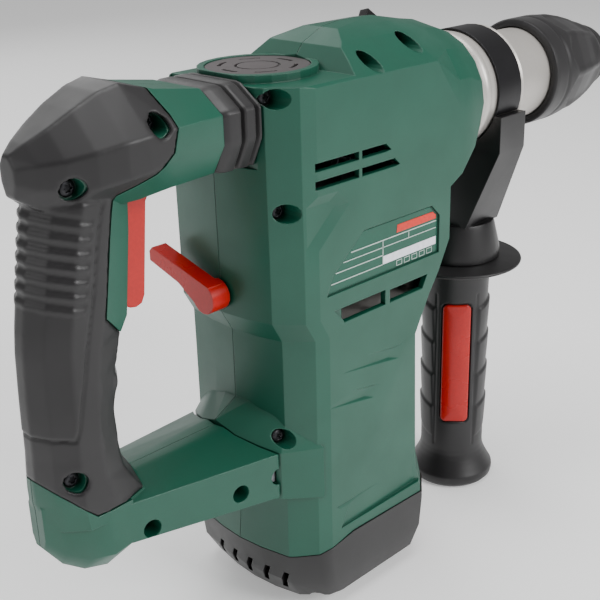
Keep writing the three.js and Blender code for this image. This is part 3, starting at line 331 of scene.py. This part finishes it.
def turned(r, turn, x):
    """The point at radius r and a turn from upright about the spindle line, in mm."""
    return (x, r * math.sin(turn), SPINDLE_Z + r * math.cos(turn))


def turns_of(count):
    """Evenly spaced angles round a full circle."""
    return [2 * math.pi * i / count for i in range(count)]


def resample(profile, step):
    """Points every step mm along a polyline, its corners kept."""
    points = [profile[0]]
    for a, b in zip(profile, profile[1:]):
        pieces = max(1, round(math.dist(a, b) / step))
        points += [tuple(p + (q - p) * i / pieces for p, q in zip(a, b)) for i in range(1, pieces + 1)]
    return points


def prism_y(shape, outline, y0, y1, index):
    """Adds a flat plate with an x-z outline in mm to a bmesh, with one material."""
    rings = [[shape.verts.new((x * MM, y * MM, z * MM)) for x, z in outline] for y in (y0, y1)]
    faces = [shape.faces.new(rings[0]), shape.faces.new(list(reversed(rings[1])))]
    for i in range(len(outline)):
        j = (i + 1) % len(outline)
        faces.append(shape.faces.new((rings[0][j], rings[0][i], rings[1][i], rings[1][j])))
    for face in faces:
        face.material_index = index


def ramp(value, start, end):
    """0 at start, 1 at end, eased between; works on numbers and arrays."""
    share = np.clip((value - start) / (end - start), 0.0, 1.0)
    return share * share * (3 - 2 * share)


def rectangle(x0, x1, z0, z1):
    """The corners of an upright rectangle in side view, in mm."""
    return [(x0, z0), (x1, z0), (x1, z1), (x0, z1)]


# ---------------------------------------------------------------- settings
class HammerSizes(bpy.types.PropertyGroup):
    """Sizes of the pieces that a user would change"""

    screw_head: bpy.props.FloatProperty(
        name="Screw head", description="Diameter of the screw heads in the shell wells",
        default=7.0 * MM, unit="LENGTH", subtype="DISTANCE",
    )
    groove_pitch: bpy.props.FloatProperty(
        name="Groove pitch", description="Spacing of the grooves across the rear grip pad",
        default=5.8 * MM, unit="LENGTH", subtype="DISTANCE",
    )
    groove_depth: bpy.props.FloatProperty(
        name="Groove depth", description="Depth of the grooves across the rear grip pad",
        default=0.4 * MM, unit="LENGTH", subtype="DISTANCE",
    )
    flutes: bpy.props.IntProperty(
        name="Flutes", description="Finger flutes round the chuck sleeve", default=8, min=3, max=16,
    )
    floor_gap: bpy.props.FloatProperty(
        name="Floor gap", description="Height of the hammer's lowest point over the floor",
        default=0.4 * MM, unit="LENGTH", subtype="DISTANCE",
    )


class HammerColours(bpy.types.PropertyGroup):
    """Colours that a user would change"""

    floor: bpy.props.FloatVectorProperty(
        name="Floor", description="Colour of the studio floor", default=(0.86, 0.86, 0.86), subtype="COLOR",
        min=0.0, max=1.0,
    )


# ---------------------------------------------------------------- housing
FACET_ANGLE = 14  # the shells' shallow facets stay crisp above this angle, in degrees


class HAMMER_OT_housing(bpy.types.Operator):
    """Clads the two housing halves and the motor end cap"""

    bl_idname = "hammer.housing"
    bl_label = "Housing"

    def execute(self, context):
        for side in ("right", "left"):
            skin("housing_" + side, "nylon_green", angle=FACET_ANGLE)
        skin("motor_end_cap", "nylon_black")
        skin("grease_cap", "nylon_grey")
        return {"FINISHED"}


LABEL_FLOOR = -39.8  # y of the recess that the rating label lies in, in mm
FILM_FACE = LABEL_FLOOR - 0.25
INK_FACE = LABEL_FLOOR - 0.36
LABEL_OUTLINE = [(-37.3, 161.6), (39.4, 161.6), (39.4, 179.7), (33.6, 185.4), (-13.7, 185.4), (-33.4, 170.1)]
GROUND, RED, WHITE, PALE = range(4)  # places of the label's four inks in its list of finishes
LABEL_MARKS = [
    ([(9.5, 178.6), (38.2, 178.6), (38.2, 180.4), (35.6, 182.4), (10, 182.4)], RED),
    (rectangle(0.2, 38.4, 165.6, 169.6), WHITE),
    (rectangle(-21.5, 38.4, 177.15, 177.65), PALE),
    (rectangle(-26.5, 38.4, 173.75, 174.15), PALE),
    (rectangle(-31.5, 0, 169.9, 170.35), PALE),
    (rectangle(-34.5, 0, 165.4, 165.85), PALE),
    (rectangle(-0.25, 0.2, 165.4, 177.2), PALE),
    (rectangle(18, 18.4, 174.1, 177.2), PALE),
]
SYMBOL_STARTS = (9.5, 15, 20.5, 26, 31.5)  # left edges of the empty square frames along the bottom


class HAMMER_OT_label(bpy.types.Operator):
    """Sets the rating label into its recess, with plain bars and rules in place of words"""

    bl_idname = "hammer.label"
    bl_label = "Rating label"

    def execute(self, context):
        shape = bmesh.new()
        prism_y(shape, LABEL_OUTLINE, FILM_FACE, LABEL_FLOOR, GROUND)
        marks = list(LABEL_MARKS)
        for x in SYMBOL_STARTS:
            marks += [
                (rectangle(x, x + 4, 162.2, 162.5), PALE), (rectangle(x, x + 4, 164.6, 164.9), PALE),
                (rectangle(x, x + 0.3, 162.5, 164.6), PALE), (rectangle(x + 3.7, x + 4, 162.5, 164.6), PALE),
            ]
        for mark, index in marks:
            prism_y(shape, mark, INK_FACE, FILM_FACE + 0.01, index)
        inks = ["vinyl_green", "vinyl_red", "vinyl_white", "vinyl_pale"]
        add_piece("rating_label", finished_mesh("rating_label", shape), inks, "housing")
        return {"FINISHED"}


# x, z and the y of the head's seat, in mm, from the screw wells of the shells
HOUSING_SCREWS = [(-56, 250.5, -24), (-54, 202, -27), (-2, 258, -18), (31, 261.5, -17), (-56, 93, -24)]
HANDLE_SCREWS = [
    (-111, 249, -17), (-146, 230.5, -13), (-158, 110.5, -11), (-127.5, 76, -12), (-82.5, 75, -17),
]


SCREW_SIDES = 36
SHANK_RADIUS = 1.7
SHANK_LENGTH = 4
HEAD_SEAT = -0.3
SOCKET_RADIUS, SOCKET_LOBES, LOBE_HEIGHT = 1.6, 6, 0.35
SOCKET_TAPER = 0.96


def screw_mesh(name, x, z, seat, radius):
    """A pan-head screw with a six-lobed socket, its head towards the right side of the tool."""
    body = [
        (SHANK_RADIUS, SHANK_LENGTH), (SHANK_RADIUS, HEAD_SEAT), (radius, HEAD_SEAT), (radius, -0.9),
        (radius - 0.3, -1.3), (radius - 1.0, -1.6),
    ]
    rings = [[(r, seat + y)] * SCREW_SIDES for r, y in body]
    lobes = [SOCKET_RADIUS + LOBE_HEIGHT * math.cos(SOCKET_LOBES * turn) for turn in turns_of(SCREW_SIDES)]
    rings.append([(r, seat - 1.7) for r in lobes])
    rings.append([(r * SOCKET_TAPER, seat - 0.6) for r in lobes])
    rows = [
        [(x + r * math.cos(turn), y, z + r * math.sin(turn)) for turn, (r, y) in zip(turns_of(SCREW_SIDES), ring)]
        for ring in rings
    ]
    return rings_mesh(name, rows)


class HAMMER_OT_screws(bpy.types.Operator):
    """Fits a socket-head screw in the listed wells of the housing and of the rear handle"""

    bl_idname = "hammer.screws"
    bl_label = "Screws"

    def execute(self, context):
        radius = context.scene.hammer_sizes.screw_head / MM / 2
        for body, node, places, kept in (
            ("housing", "housing_screw", HOUSING_SCREWS, 0), ("rear_handle", "handle_screw", HANDLE_SCREWS, 2),
        ):
            for i, (x, z, seat) in enumerate(places):
                mesh = screw_mesh(f"{node}_{i + 1}", x, z, seat, radius)
                smooth(mesh, 35)
                add_piece(f"{node}_{i + 1}", mesh, ["steel_blackened"], body, [node] if i == kept else ())
        return {"FINISHED"}


# ---------------------------------------------------------------- front end
# Closed profiles as radius and x, in mm, turned about the spindle line
COLLAR_PROFILE = [
    (19.5, 60), (33.5, 60), (33.5, 66), (30, 66.3), (30, 88.5), (30.6, 89.2), (31, 90.4), (31, 92), (30.6, 93.2),
    (30, 94), (30, 97), (29.7, 98), (29.7, 118.6), (30.4, 119.4), (30.7, 120.6), (30.4, 121.8), (29.4, 122.8),
    (27, 123.4), (25, 124), (24.6, 125), (24.6, 167.5), (24.1, 168), (21.3, 168), (21.3, 160), (16.6, 160),
    (16.6, 94), (27.3, 94), (27.3, 79), (19.5, 79),
]
CAP_PROFILE = [
    (5.8, 221.4), (14.4, 221.4), (14.4, 216), (18.6, 216), (18.9, 217), (18.8, 219), (18.2, 219.6), (18.2, 220.2),
    (18.5, 221), (17.9, 223), (16.6, 225), (14.6, 226.4), (11.6, 227), (7.5, 227), (6.3, 226), (5.8, 225),
]
COLLAR_SIDES, CAP_SIDES, SLEEVE_SIDES = 128, 96, 144


def lathe_mesh(name, profile, count):
    """A mesh turned about the spindle line from a closed profile."""
    return rings_mesh(name, [[turned(r, turn, x) for turn in turns_of(count)] for r, x in profile], looped=True)


class HAMMER_OT_front(bpy.types.Operator):
    """Finishes the aluminium collar, the tool holder and the dust cap"""

    bl_idname = "hammer.front"
    bl_label = "Collar and tool holder"

    def execute(self, context):
        for name, profile, count, finish, node in (
            ("collar_casting", COLLAR_PROFILE, COLLAR_SIDES, "aluminium_blasted", "front_collar"),
            ("dust_cap_moulding", CAP_PROFILE, CAP_SIDES, "elastomer_black", "dust_cap"),
        ):
            mesh = lathe_mesh(name, profile, count)
            smooth(mesh, 28)
            add_piece(name, mesh, [finish], BODY_OF[node], [node])
        skin("tool_holder", "steel_ground")
        return {"FINISHED"}


SLEEVE_OUTSIDE = [
    (25.3, 154), (27.9, 154), (29.0, 154.9), (29.3, 156.5), (29.3, 165), (28.8, 166), (28.8, 167.2), (29.3, 168.2),
    (29.3, 174), (28.5, 184), (26.3, 195), (23.6, 205), (21.6, 211), (20.6, 213.4), (19.6, 214.5), (17.75, 214.5),
]
FLUTE_START = 171.5  # x of the flutes' arched rear edges, in mm
FLUTE_ARCH = 5  # how far back the arch's middle reaches past its ends
FLUTE_RISE = 1.6
FLUTE_FADE = (213, 203)  # x from which the flutes run out towards the nose, and where they are full
FLUTE_SHARE = 0.86
FLUTE_DEPTH = 1.9
SLEEVE_INSIDE = [(17.75, 205), (18.35, 203), (18.35, 190), (20.65, 187), (22.45, 182), (25.3, 176)]


class HAMMER_OT_chuck(bpy.types.Operator):
    """Moulds the fluted rubber sleeve of the chuck"""

    bl_idname = "hammer.chuck"
    bl_label = "Chuck sleeve"

    def execute(self, context):
        flutes = context.scene.hammer_sizes.flutes
        rows = []
        for r, x in resample(SLEEVE_OUTSIDE, 1.2):
            ring = []
            for turn in turns_of(SLEEVE_SIDES):
                across = ((turn * flutes / math.pi) % 2 - 1) / FLUTE_SHARE
                start = FLUTE_START + FLUTE_ARCH * across ** 2
                along = ramp(x, start, start + FLUTE_RISE) * ramp(x, *FLUTE_FADE)
                dip = FLUTE_DEPTH * max(0.0, 1 - across ** 2) ** 0.5 * along
                ring.append(turned(r - dip, turn, x))
            rows.append(ring)
        rows += [[turned(r, turn, x) for turn in turns_of(SLEEVE_SIDES)] for r, x in SLEEVE_INSIDE]
        mesh = rings_mesh("chuck_sleeve_moulding", rows, looped=True)
        smooth(mesh, 40)
        add_piece("chuck_sleeve_moulding", mesh, ["elastomer_black"], "chuck", ["chuck_sleeve"])
        return {"FINISHED"}


# ---------------------------------------------------------------- rear handle
JOINT_GAP = 0.2 * MM  # points nearer the middle plane than this are on the joint between the halves
JOINT_WELD = 0.02 * MM
GRIP_VOXEL = 0.85  # in mm, fine enough for the ribs


def joined_halves(right, left):
    """One closed mesh from the two halves of a node pair, with the narrow joint between them closed."""
    shape = bmesh.new()
    for node in (right, left):
        shape.from_mesh(node_mesh(node))
    for vert in shape.verts:
        if abs(vert.co.y) < JOINT_GAP:
            vert.co.y = 0.0
    bmesh.ops.remove_doubles(shape, verts=shape.verts, dist=JOINT_WELD)
    inner = [face for face in shape.faces if all(abs(vert.co.y) < 1e-7 for vert in face.verts)]
    bmesh.ops.delete(shape, geom=inner, context="FACES")
    mesh = bpy.data.meshes.new("blank")
    shape.to_mesh(mesh)
    shape.free()
    return mesh


def remoulded(blank, voxel):
    """A dense even mesh over a blank, its edges rounded like moulded rubber."""
    source = bpy.data.objects.new("blank", blank)
    bpy.context.scene.collection.objects.link(source)
    remesh = source.modifiers.new("Even mesh", "REMESH")
    remesh.mode = "VOXEL"
    remesh.voxel_size = voxel * MM
    soften = source.modifiers.new("Soften", "SMOOTH")
    soften.factor = 0.5
    soften.iterations = 2
    evaluated = source.evaluated_get(bpy.context.evaluated_depsgraph_get())
    mesh = bpy.data.meshes.new_from_object(evaluated)
    bpy.data.objects.remove(source)
    return mesh


def points_of(mesh):
    """Vertex places in mm and their normals."""
    places = np.empty(len(mesh.vertices) * 3)
    mesh.vertices.foreach_get("co", places)
    normals = np.empty(len(mesh.vertices) * 3)
    mesh.vertex_normals.foreach_get("vector", normals)
    return places.reshape(-1, 3) / MM, normals.reshape(-1, 3)


def distance_to_line(x, z, line):
    """Distance from points to an x-z polyline, in mm."""
    best = np.full(x.shape, 1e9)
    for (x0, z0), (x1, z1) in zip(line, line[1:]):
        dx, dz = x1 - x0, z1 - z0
        share = np.clip(((x - x0) * dx + (z - z0) * dz) / (dx * dx + dz * dz), 0, 1)
        best = np.minimum(best, np.hypot(x - x0 - share * dx, z - z0 - share * dz))
    return best


# Edge of the palm pad in side view, from the top down the front and back along the bottom
PAD_EDGE = [
    (-134.5, 224), (-136.1, 220.3), (-138.3, 209), (-142.5, 185.7), (-146.2, 170.1), (-149.6, 154.1),
    (-154.5, 133.8), (-156.5, 129), (-164.2, 130.2), (-173.1, 131.2), (-190, 133),
]
RIB_TOP, RIB_BOTTOM = 221.8, 181.5
RIB_SLOPE = 0.27  # the ribs lie square to the leaning grip
RIB_MARGIN = 3.4  # plain strip between the ribs and the pad's edge
RIB_SQUARENESS = 2.5  # how flat the ribs' tops and the grooves' floors are
PAD_TOP = 224
PAD_LIFT = 0.3  # how far the pad stands proud
PAD_GROOVE = 0.55  # depth of the groove round it
PAD_FRONT = sorted((z, x) for x, z in PAD_EDGE[1:8])
PAD_BOTTOM = sorted(PAD_EDGE[7:])
# height, width and how far each finger wave stands off the front, in mm
FINGER_WAVES = [(146, 3.6, 1.0), (152, 3, -0.7), (134, 6, -0.8), (121, 4, 0.5)]


def mould_grip_cover(sizes):
    """Moulds the palm pad, its ribs and the finger waves into the soft grip."""
    mesh = remoulded(joined_halves("grip_cover_right", "grip_cover_left"), GRIP_VOXEL)
    places, normals = points_of(mesh)
    x, y, z = places.T
    middle = -150 - ramp(z, 210, 115) * 8
    reach = np.hypot(x - middle, y) + 1e-6
    outward = ((x - middle) * normals[:, 0] + y * normals[:, 1]) / reach
    outer = ramp(outward, 0.15, 0.45) * ramp(z, 226, 223)
    edge = distance_to_line(x, z, PAD_EDGE)
    front = np.interp(z, *zip(*PAD_FRONT))
    bottom = np.interp(x, *zip(*PAD_BOTTOM))
    inside = (x < front) & (z > bottom) & (z < PAD_TOP)
    lift = np.where(inside, PAD_LIFT * ramp(edge, 0.2, 1.2), 0.0)
    lift = lift - PAD_GROOVE * ramp(edge, 1.0, 0.2) * (z < PAD_TOP)
    along = z + RIB_SLOPE * (x + 152)
    pitch = sizes.groove_pitch / MM
    wave = np.tanh(RIB_SQUARENESS * np.sin(2 * math.pi * (along - RIB_BOTTOM) / pitch))
    ribbed = inside * ramp(edge, RIB_MARGIN - 0.8, RIB_MARGIN) * ramp(along, RIB_BOTTOM - 0.4, RIB_BOTTOM + 0.4)
    ribbed = ribbed * ramp(along, RIB_TOP + 0.4, RIB_TOP - 0.4)
    lift = lift + ribbed * wave * sizes.groove_depth / MM
    fingers = sum(height * np.exp(-((z - at) / width) ** 2) for at, width, height in FINGER_WAVES)
    facing = ramp(normals[:, 0], 0.2, 0.7) * (x > middle)
    lift = lift * (1 - facing) + fingers * facing
    places = places + normals * (lift * outer)[:, None]
    mesh.vertices.foreach_set("co", (places * MM).ravel())
    smooth(mesh, 60)
    covers = ["grip_cover_right", "grip_cover_left"]
    add_piece("grip_moulding", mesh, ["elastomer_black"], "rear_handle", covers)


class HAMMER_OT_handle(bpy.types.Operator):
    """Finishes the handle shells, the soft grip, the gland and the trigger"""

    bl_idname = "hammer.handle"
    bl_label = "Rear handle"

    def execute(self, context):
        for side in ("right", "left"):
            skin("handle_" + side, "nylon_green")
        mould_grip_cover(context.scene.hammer_sizes)
        skin("trigger", "acetal_red")
        skin("cord_gland", "elastomer_black")
        return {"FINISHED"}


BELLOWS_SECTION = [
    (16, 257), (28.5, 248.5), (28.5, 235.5), (22, 222), (-22, 222), (-28.5, 235.5), (-28.5, 248.5), (-16, 257),
]
BELLOWS_Z = 240  # height of the bellows' middle line, in mm
BELLOWS_HALF = 27  # mean distance of the wall from it
BORE_WIDTH, BORE_HEIGHT = 0.83, 0.8  # the bore's share of the section
# share of the length from the handle end, and how far the wall lies inside the section there, in mm
BELLOWS_RIBS = [
    (0, 2.6), (0.03, 1.6), (0.12, 0.6), (0.2, 0), (0.42, -0.1), (0.45, 0.3), (0.475, 1.6), (0.5, 2.4), (0.53, 1.8),
    (0.56, 0.5), (0.6, 0), (0.8, -0.2), (0.83, 0.3), (0.86, 1.4), (0.885, 1.9), (0.91, 1.3), (0.94, 0.3), (0.98, 0),
    (1, 0.8),
]


def rounded_loop(corners, passes=2, share=0.07):
    """A closed loop with its corners cut back again and again until it reads as round."""
    for _ in range(passes):
        cut = []
        for a, b in zip(corners, corners[1:] + corners[:1]):
            cut.append(tuple(p + (q - p) * share for p, q in zip(a, b)))
            cut.append(tuple(q + (p - q) * share for p, q in zip(a, b)))
        corners = cut
    return corners


def bellows_ring(x, loop, width, height):
    """One ring of the bellows at x, its section drawn in towards the middle line."""
    return [(x, y * width, BELLOWS_Z + (z - BELLOWS_Z) * height) for y, z in loop]


class HAMMER_OT_bellows(bpy.types.Operator):
    """Moulds the ribbed rubber bellows between the housing and the rear handle"""

    bl_idname = "hammer.bellows"
    bl_label = "Bellows"

    def execute(self, context):
        low, high = (corner.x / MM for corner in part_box("bellows"))
        loop = rounded_loop(BELLOWS_SECTION)
        rows = []
        for share, inset in BELLOWS_RIBS:
            scale = 1 - inset / BELLOWS_HALF
            rows.append(bellows_ring(low + (high - low) * share, loop, scale, scale))
        rows += [bellows_ring(x, loop, BORE_WIDTH, BORE_HEIGHT) for x in (high, low)]
        mesh = rings_mesh("bellows_moulding", rows, looped=True)
        smooth(mesh, 24)
        piece = add_piece("bellows_moulding", mesh, ["elastomer_black"], None, ["bellows"])
        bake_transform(piece)
        return {"FINISHED"}


# node, the body of its fixed end, the body of its moving end, and which end is fixed: 0 rear, 1 front
SPRINGS = [("damper_spring", "housing", "rear_handle", 1), ("sleeve_spring", "spindle", "chuck", 0)]


class HAMMER_OT_springs(bpy.types.Operator):
    """Finishes the damper spring and the sleeve spring in ground steel, fixed where they stand"""

    bl_idname = "hammer.springs"
    bl_label = "Springs"

    def execute(self, context):
        for node, fixed, moving, fixed_end in SPRINGS:
            mesh = node_mesh(node)
            smooth(mesh, 40)
            piece = add_piece(node + "_coil", mesh, ["steel_ground"], None, [node])
            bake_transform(piece)
        return {"FINISHED"}


# ---------------------------------------------------------------- controls
class HAMMER_OT_controls(bpy.types.Operator):
    """Finishes the red mode lever and the black mode knob"""

    bl_idname = "hammer.controls"
    bl_label = "Mode controls"

    def execute(self, context):
        skin("mode_lever", "acetal_red")
        skin("mode_knob", "nylon_black")
        return {"FINISHED"}


# ---------------------------------------------------------------- side handle
GRIP_AXIS_X = 108.5
GRIP_RADIUS = 18.2
GRIP_SIDES = 180
RELIEF_RADII, RELIEF_HEIGHTS = (17, 19.5), (14, 120)  # the part of the grip that the pads lie on
INSERT_TURN = math.radians(-139)  # direction that the red insert faces, about the grip
INSERT_HALF = 8.4
INSERT_LOW, INSERT_HIGH = 33.6, 107.4
INSERT_CORNER = 3.2
INSERT_REACH = 18.45  # radius of the insert's face before its crown
INSERT_CROWN = [
    (0.25, -3.0), (0.25, -0.5), (0.45, -0.1), (0.9, 0.15), (1.6, 0.2), (3, 0.2), (4.5, 0.2), (6, 0.2), (7.6, 0.2),
]
CORNER_STEPS = 8
SEAT_DEPTH = 1.3
GRIP_OUTSIDE = [
    (0.01, -7.5), (20.6, -7.5), (22.6, -7.1), (24, -5.4), (24.5, -3), (24.3, -1), (22.8, 1.6), (21, 5), (19.6, 8),
    (18.6, 11), (18.2, 14), (18.2, 20), (18.2, 60), (18.3, 108), (18.6, 118), (19.0, 124), (20.2, 127.6), (24, 128.8),
    (34.8, 129.2), (35.5, 129.6), (35.7, 130.2), (35.5, 130.8), (34.8, 131.1), (22, 132.1), (4.4, 132.1), (4.4, 58),
    (0.01, 58),
]
PAD_LOW, PAD_HIGH = 22.0, 104.0
PADS = 4
PAD_SLANT = 0.09  # mm down the grip for each degree round it
BORDER_DEPTH = 0.5
STRIP_EDGE = 40.0  # half angle of the smooth strips in front of and behind the pads, in degrees


def rounded_box_distance(u, v, half, low, high, corner):
    """Signed distance to a rounded rectangle in the grip's unrolled face, negative inside."""
    du = np.abs(u) - (half - corner)
    dv = np.abs(v - (low + high) / 2) - ((high - low) / 2 - corner)
    return np.hypot(np.maximum(du, 0), np.maximum(dv, 0)) + np.minimum(np.maximum(du, dv), 0) - corner


def grip_relief(turn, z):
    """How far the side grip's pads, grooves and insert seat stand off its round body, in mm."""
    off = (math.degrees(turn - INSERT_TURN) + 180) % 360 - 180
    u = math.radians(off) * GRIP_RADIUS
    seat = rounded_box_distance(u, z, INSERT_HALF, INSERT_LOW, INSERT_HIGH, INSERT_CORNER)
    if abs(off) < 60 and seat < 1.2:
        return -SEAT_DEPTH * float(ramp(seat, 0.9, 0.3))
    aside = min(abs(off), 180 - abs(off))
    slant = PAD_SLANT * (aside - STRIP_EDGE)
    share = (z - slant - PAD_LOW) / (PAD_HIGH - PAD_LOW)
    border = 0.0
    if PAD_LOW - 5 < z < PAD_HIGH + 9:
        border = -BORDER_DEPTH * float(ramp(abs(aside - STRIP_EDGE + 2), 2.0, 0.6))
    if share <= 0 or share >= 1 or aside < STRIP_EDGE:
        return border
    phase = (share * PADS) % 1
    pad = 0.25 + 1.0 * phase ** 0.8 * float(ramp(phase, 1.0, 0.9))
    return pad * float(ramp(aside, STRIP_EDGE, STRIP_EDGE + 4)) + border


def mould_side_grip():
    """Moulds the side grip with its hand guard, four finger pads on each side and the insert's seat."""
    rows = []
    for r, z in resample(GRIP_OUTSIDE, 0.75)[:-1]:
        padded = RELIEF_RADII[0] < r < RELIEF_RADII[1] and RELIEF_HEIGHTS[0] < z < RELIEF_HEIGHTS[1]
        ring = []
        for turn in turns_of(GRIP_SIDES):
            reach = r + (grip_relief(turn, z) if padded else 0.0)
            ring.append((GRIP_AXIS_X + reach * math.cos(turn), reach * math.sin(turn), z))
        rows.append(ring)
    mesh = rings_mesh("side_grip_moulding", rows)
    smooth(mesh, 50)
    add_piece("side_grip_moulding", mesh, ["elastomer_black"], "side_grip", ["side_grip"])


def mould_insert():
    """Moulds the curved red insert with rounded corners and an eased rim."""
    rows = []
    for inset, height in INSERT_CROWN:
        half = INSERT_HALF - inset
        low, high = INSERT_LOW + inset, INSERT_HIGH - inset
        corner = min(max(INSERT_CORNER - inset, 0.3), half)
        reach = INSERT_REACH + height
        ring = []
        for cu, cv, first in (
            (half - corner, high - corner, 0), (corner - half, high - corner, 90),
            (corner - half, low + corner, 180), (half - corner, low + corner, 270),
        ):
            for step in range(CORNER_STEPS + 1):
                angle = math.radians(first + 90 * step / CORNER_STEPS)
                turn = INSERT_TURN + (cu + corner * math.cos(angle)) / GRIP_RADIUS
                z = cv + corner * math.sin(angle)
                ring.append((GRIP_AXIS_X + reach * math.cos(turn), reach * math.sin(turn), z))
        rows.append(ring)
    mesh = rings_mesh("side_grip_panel", rows)
    smooth(mesh, 40)
    add_piece("side_grip_panel", mesh, ["acetal_red"], "side_grip", ["side_grip_insert"])


class HAMMER_OT_side_handle(bpy.types.Operator):
    """Finishes the clamp band, its block, and the side grip with its insert"""

    bl_idname = "hammer.side_handle"
    bl_label = "Side handle"

    def execute(self, context):
        skin("side_strap", "steel_stoved")
        skin("clamp_yoke", "nylon_black")
        mould_side_grip()
        mould_insert()
        return {"FINISHED"}


# ---------------------------------------------------------------- works inside
INNER_FINISHES = {
    "steel": "steel_ground", "aluminium": "aluminium_blasted", "lamination": "steel_laminated",
    "copper": "copper_wound", "brass": "brass_pressed", "carbon": "carbon_pressed",
    "dark_plastic": "nylon_black", "black_rubber": "elastomer_black", "green_plastic": "nylon_green",
    "red_plastic": "acetal_red", "black_steel": "steel_stoved",
}


class HAMMER_OT_works(bpy.types.Operator):
    """Gives every frame node its finish, the motor, gears and striking parts among them"""

    bl_idname = "hammer.works"
    bl_label = "Works inside"

    def execute(self, context):
        for name, node in NODES.items():
            material = finish_material(INNER_FINISHES[SLOT_OF[name]])
            node.data.materials.clear()
            node.data.materials.append(material)
        return {"FINISHED"}


# ---------------------------------------------------------------- stage
CAMERA_AT = (-350.6, -347.8, 341.5)
CAMERA_TOWARDS = (0.6414, 0.6651, -0.3824)
CAMERA_ROLL = -1.69
CAMERA_LENS = 64.56
SENSOR = 36.0
NEAREST = 0.01
WHITE_LIGHT = (1.0, 1.0, 1.0, 1.0)
AIR_STRENGTH = 0.32
FLOOR_REACH = 6.0
FLOOR_ROUGHNESS = 0.65
FLOOR_GLOW = 0.3  # keeps the pale board from greying where the lights fall off
# name, position and size in metres, power in watts
LIGHTS = [
    ("key", (0.35, -1.35, 0.95), 0.7, 21),
    ("overhead", (0.0, 0.0, 1.6), 0.9, 16),
    ("rear", (-1.5, 0.2, 0.8), 0.9, 5),
    ("left", (0.3, 1.5, 1.0), 1.2, 8),
]


class HAMMER_OT_stage(bpy.types.Operator):
    """Lays the pale floor and sets the soft lights and the camera"""

    bl_idname = "hammer.stage"
    bl_label = "Studio"

    def execute(self, context):
        scene = context.scene
        world = bpy.data.worlds.new("studio_air")
        world.use_nodes = True
        background = world.node_tree.nodes["Background"]
        background.inputs["Color"].default_value = WHITE_LIGHT
        background.inputs["Strength"].default_value = AIR_STRENGTH
        scene.world = world
        level = CAD_BOX[0].z - scene.hammer_sizes.floor_gap
        mesh = bpy.data.meshes.new("studio_floor")
        corners = [(x * FLOOR_REACH, y * FLOOR_REACH, level) for x, y in ((-1, -1), (1, -1), (1, 1), (-1, 1))]
        mesh.from_pydata(corners, [], [(0, 1, 2, 3)])
        floor = bpy.data.objects.new("studio_floor", mesh)
        scene.collection.objects.link(floor)
        material = bpy.data.materials.new("painted_board")
        material.use_nodes = True
        tree = material.node_tree
        shader = tree.nodes["Principled BSDF"]
        shader.inputs["Base Color"].default_value = tuple(scene.hammer_colours.floor) + (1.0,)
        shader.inputs["Roughness"].default_value = FLOOR_ROUGHNESS
        shader.inputs["Emission Color"].default_value = WHITE_LIGHT
        shader.inputs["Emission Strength"].default_value = FLOOR_GLOW
        mesh.materials.append(material)
        centre = (CAD_BOX[0] + CAD_BOX[1]) / 2
        for name, at, size, power in LIGHTS:
            data = bpy.data.lights.new(name, "AREA")
            data.size = size
            data.energy = power
            light = bpy.data.objects.new(name, data)
            light.location = at
            light.rotation_euler = (centre - Vector(at)).to_track_quat("-Z", "Y").to_euler()
            scene.collection.objects.link(light)
        camera_data = bpy.data.cameras.new("camera")
        camera_data.lens = CAMERA_LENS
        camera_data.sensor_width = SENSOR
        camera_data.clip_start = NEAREST
        camera = bpy.data.objects.new("camera", camera_data)
        towards = Vector(CAMERA_TOWARDS).normalized()
        right = towards.cross(Vector((0, 0, 1))).normalized()
        up = right.cross(towards)
        roll = math.radians(CAMERA_ROLL)
        rolled_right = right * math.cos(roll) + up * math.sin(roll)
        rolled_up = up * math.cos(roll) - right * math.sin(roll)
        turn = Matrix((rolled_right, rolled_up, -towards)).transposed()
        camera.matrix_world = Matrix.Translation([c * MM for c in CAMERA_AT]) @ turn.to_4x4()
        scene.collection.objects.link(camera)
        scene.camera = camera
        return {"FINISHED"}


OPERATORS = [
    HAMMER_OT_works, HAMMER_OT_housing, HAMMER_OT_label, HAMMER_OT_screws, HAMMER_OT_front, HAMMER_OT_chuck,
    HAMMER_OT_handle, HAMMER_OT_bellows, HAMMER_OT_springs, HAMMER_OT_controls, HAMMER_OT_side_handle,
    HAMMER_OT_stage,
]


class HAMMER_PT_pieces(bpy.types.Panel):
    """Lists the hammer's pieces and settings"""

    bl_label = "Rotary hammer"
    bl_space_type = "VIEW_3D"
    bl_region_type = "UI"
    bl_category = "Hammer"

    def draw(self, context):
        for settings in (context.scene.hammer_sizes, context.scene.hammer_colours):
            for name in settings.__annotations__:
                self.layout.prop(settings, name)
        for operator in OPERATORS:
            self.layout.operator(operator.bl_idname)


CLASSES = [HammerSizes, HammerColours, *OPERATORS, HAMMER_PT_pieces]


def register():
    for cls in CLASSES:
        bpy.utils.register_class(cls)
    bpy.types.Scene.hammer_sizes = bpy.props.PointerProperty(type=HammerSizes)
    bpy.types.Scene.hammer_colours = bpy.props.PointerProperty(type=HammerColours)


def unregister():
    del bpy.types.Scene.hammer_colours
    del bpy.types.Scene.hammer_sizes
    for cls in reversed(CLASSES):
        bpy.utils.unregister_class(cls)


def main():
    register()
    for operator in OPERATORS:
        group, name = operator.bl_idname.split(".")
        getattr(getattr(bpy.ops, group), name)()


if __name__ == "__main__":
    main()
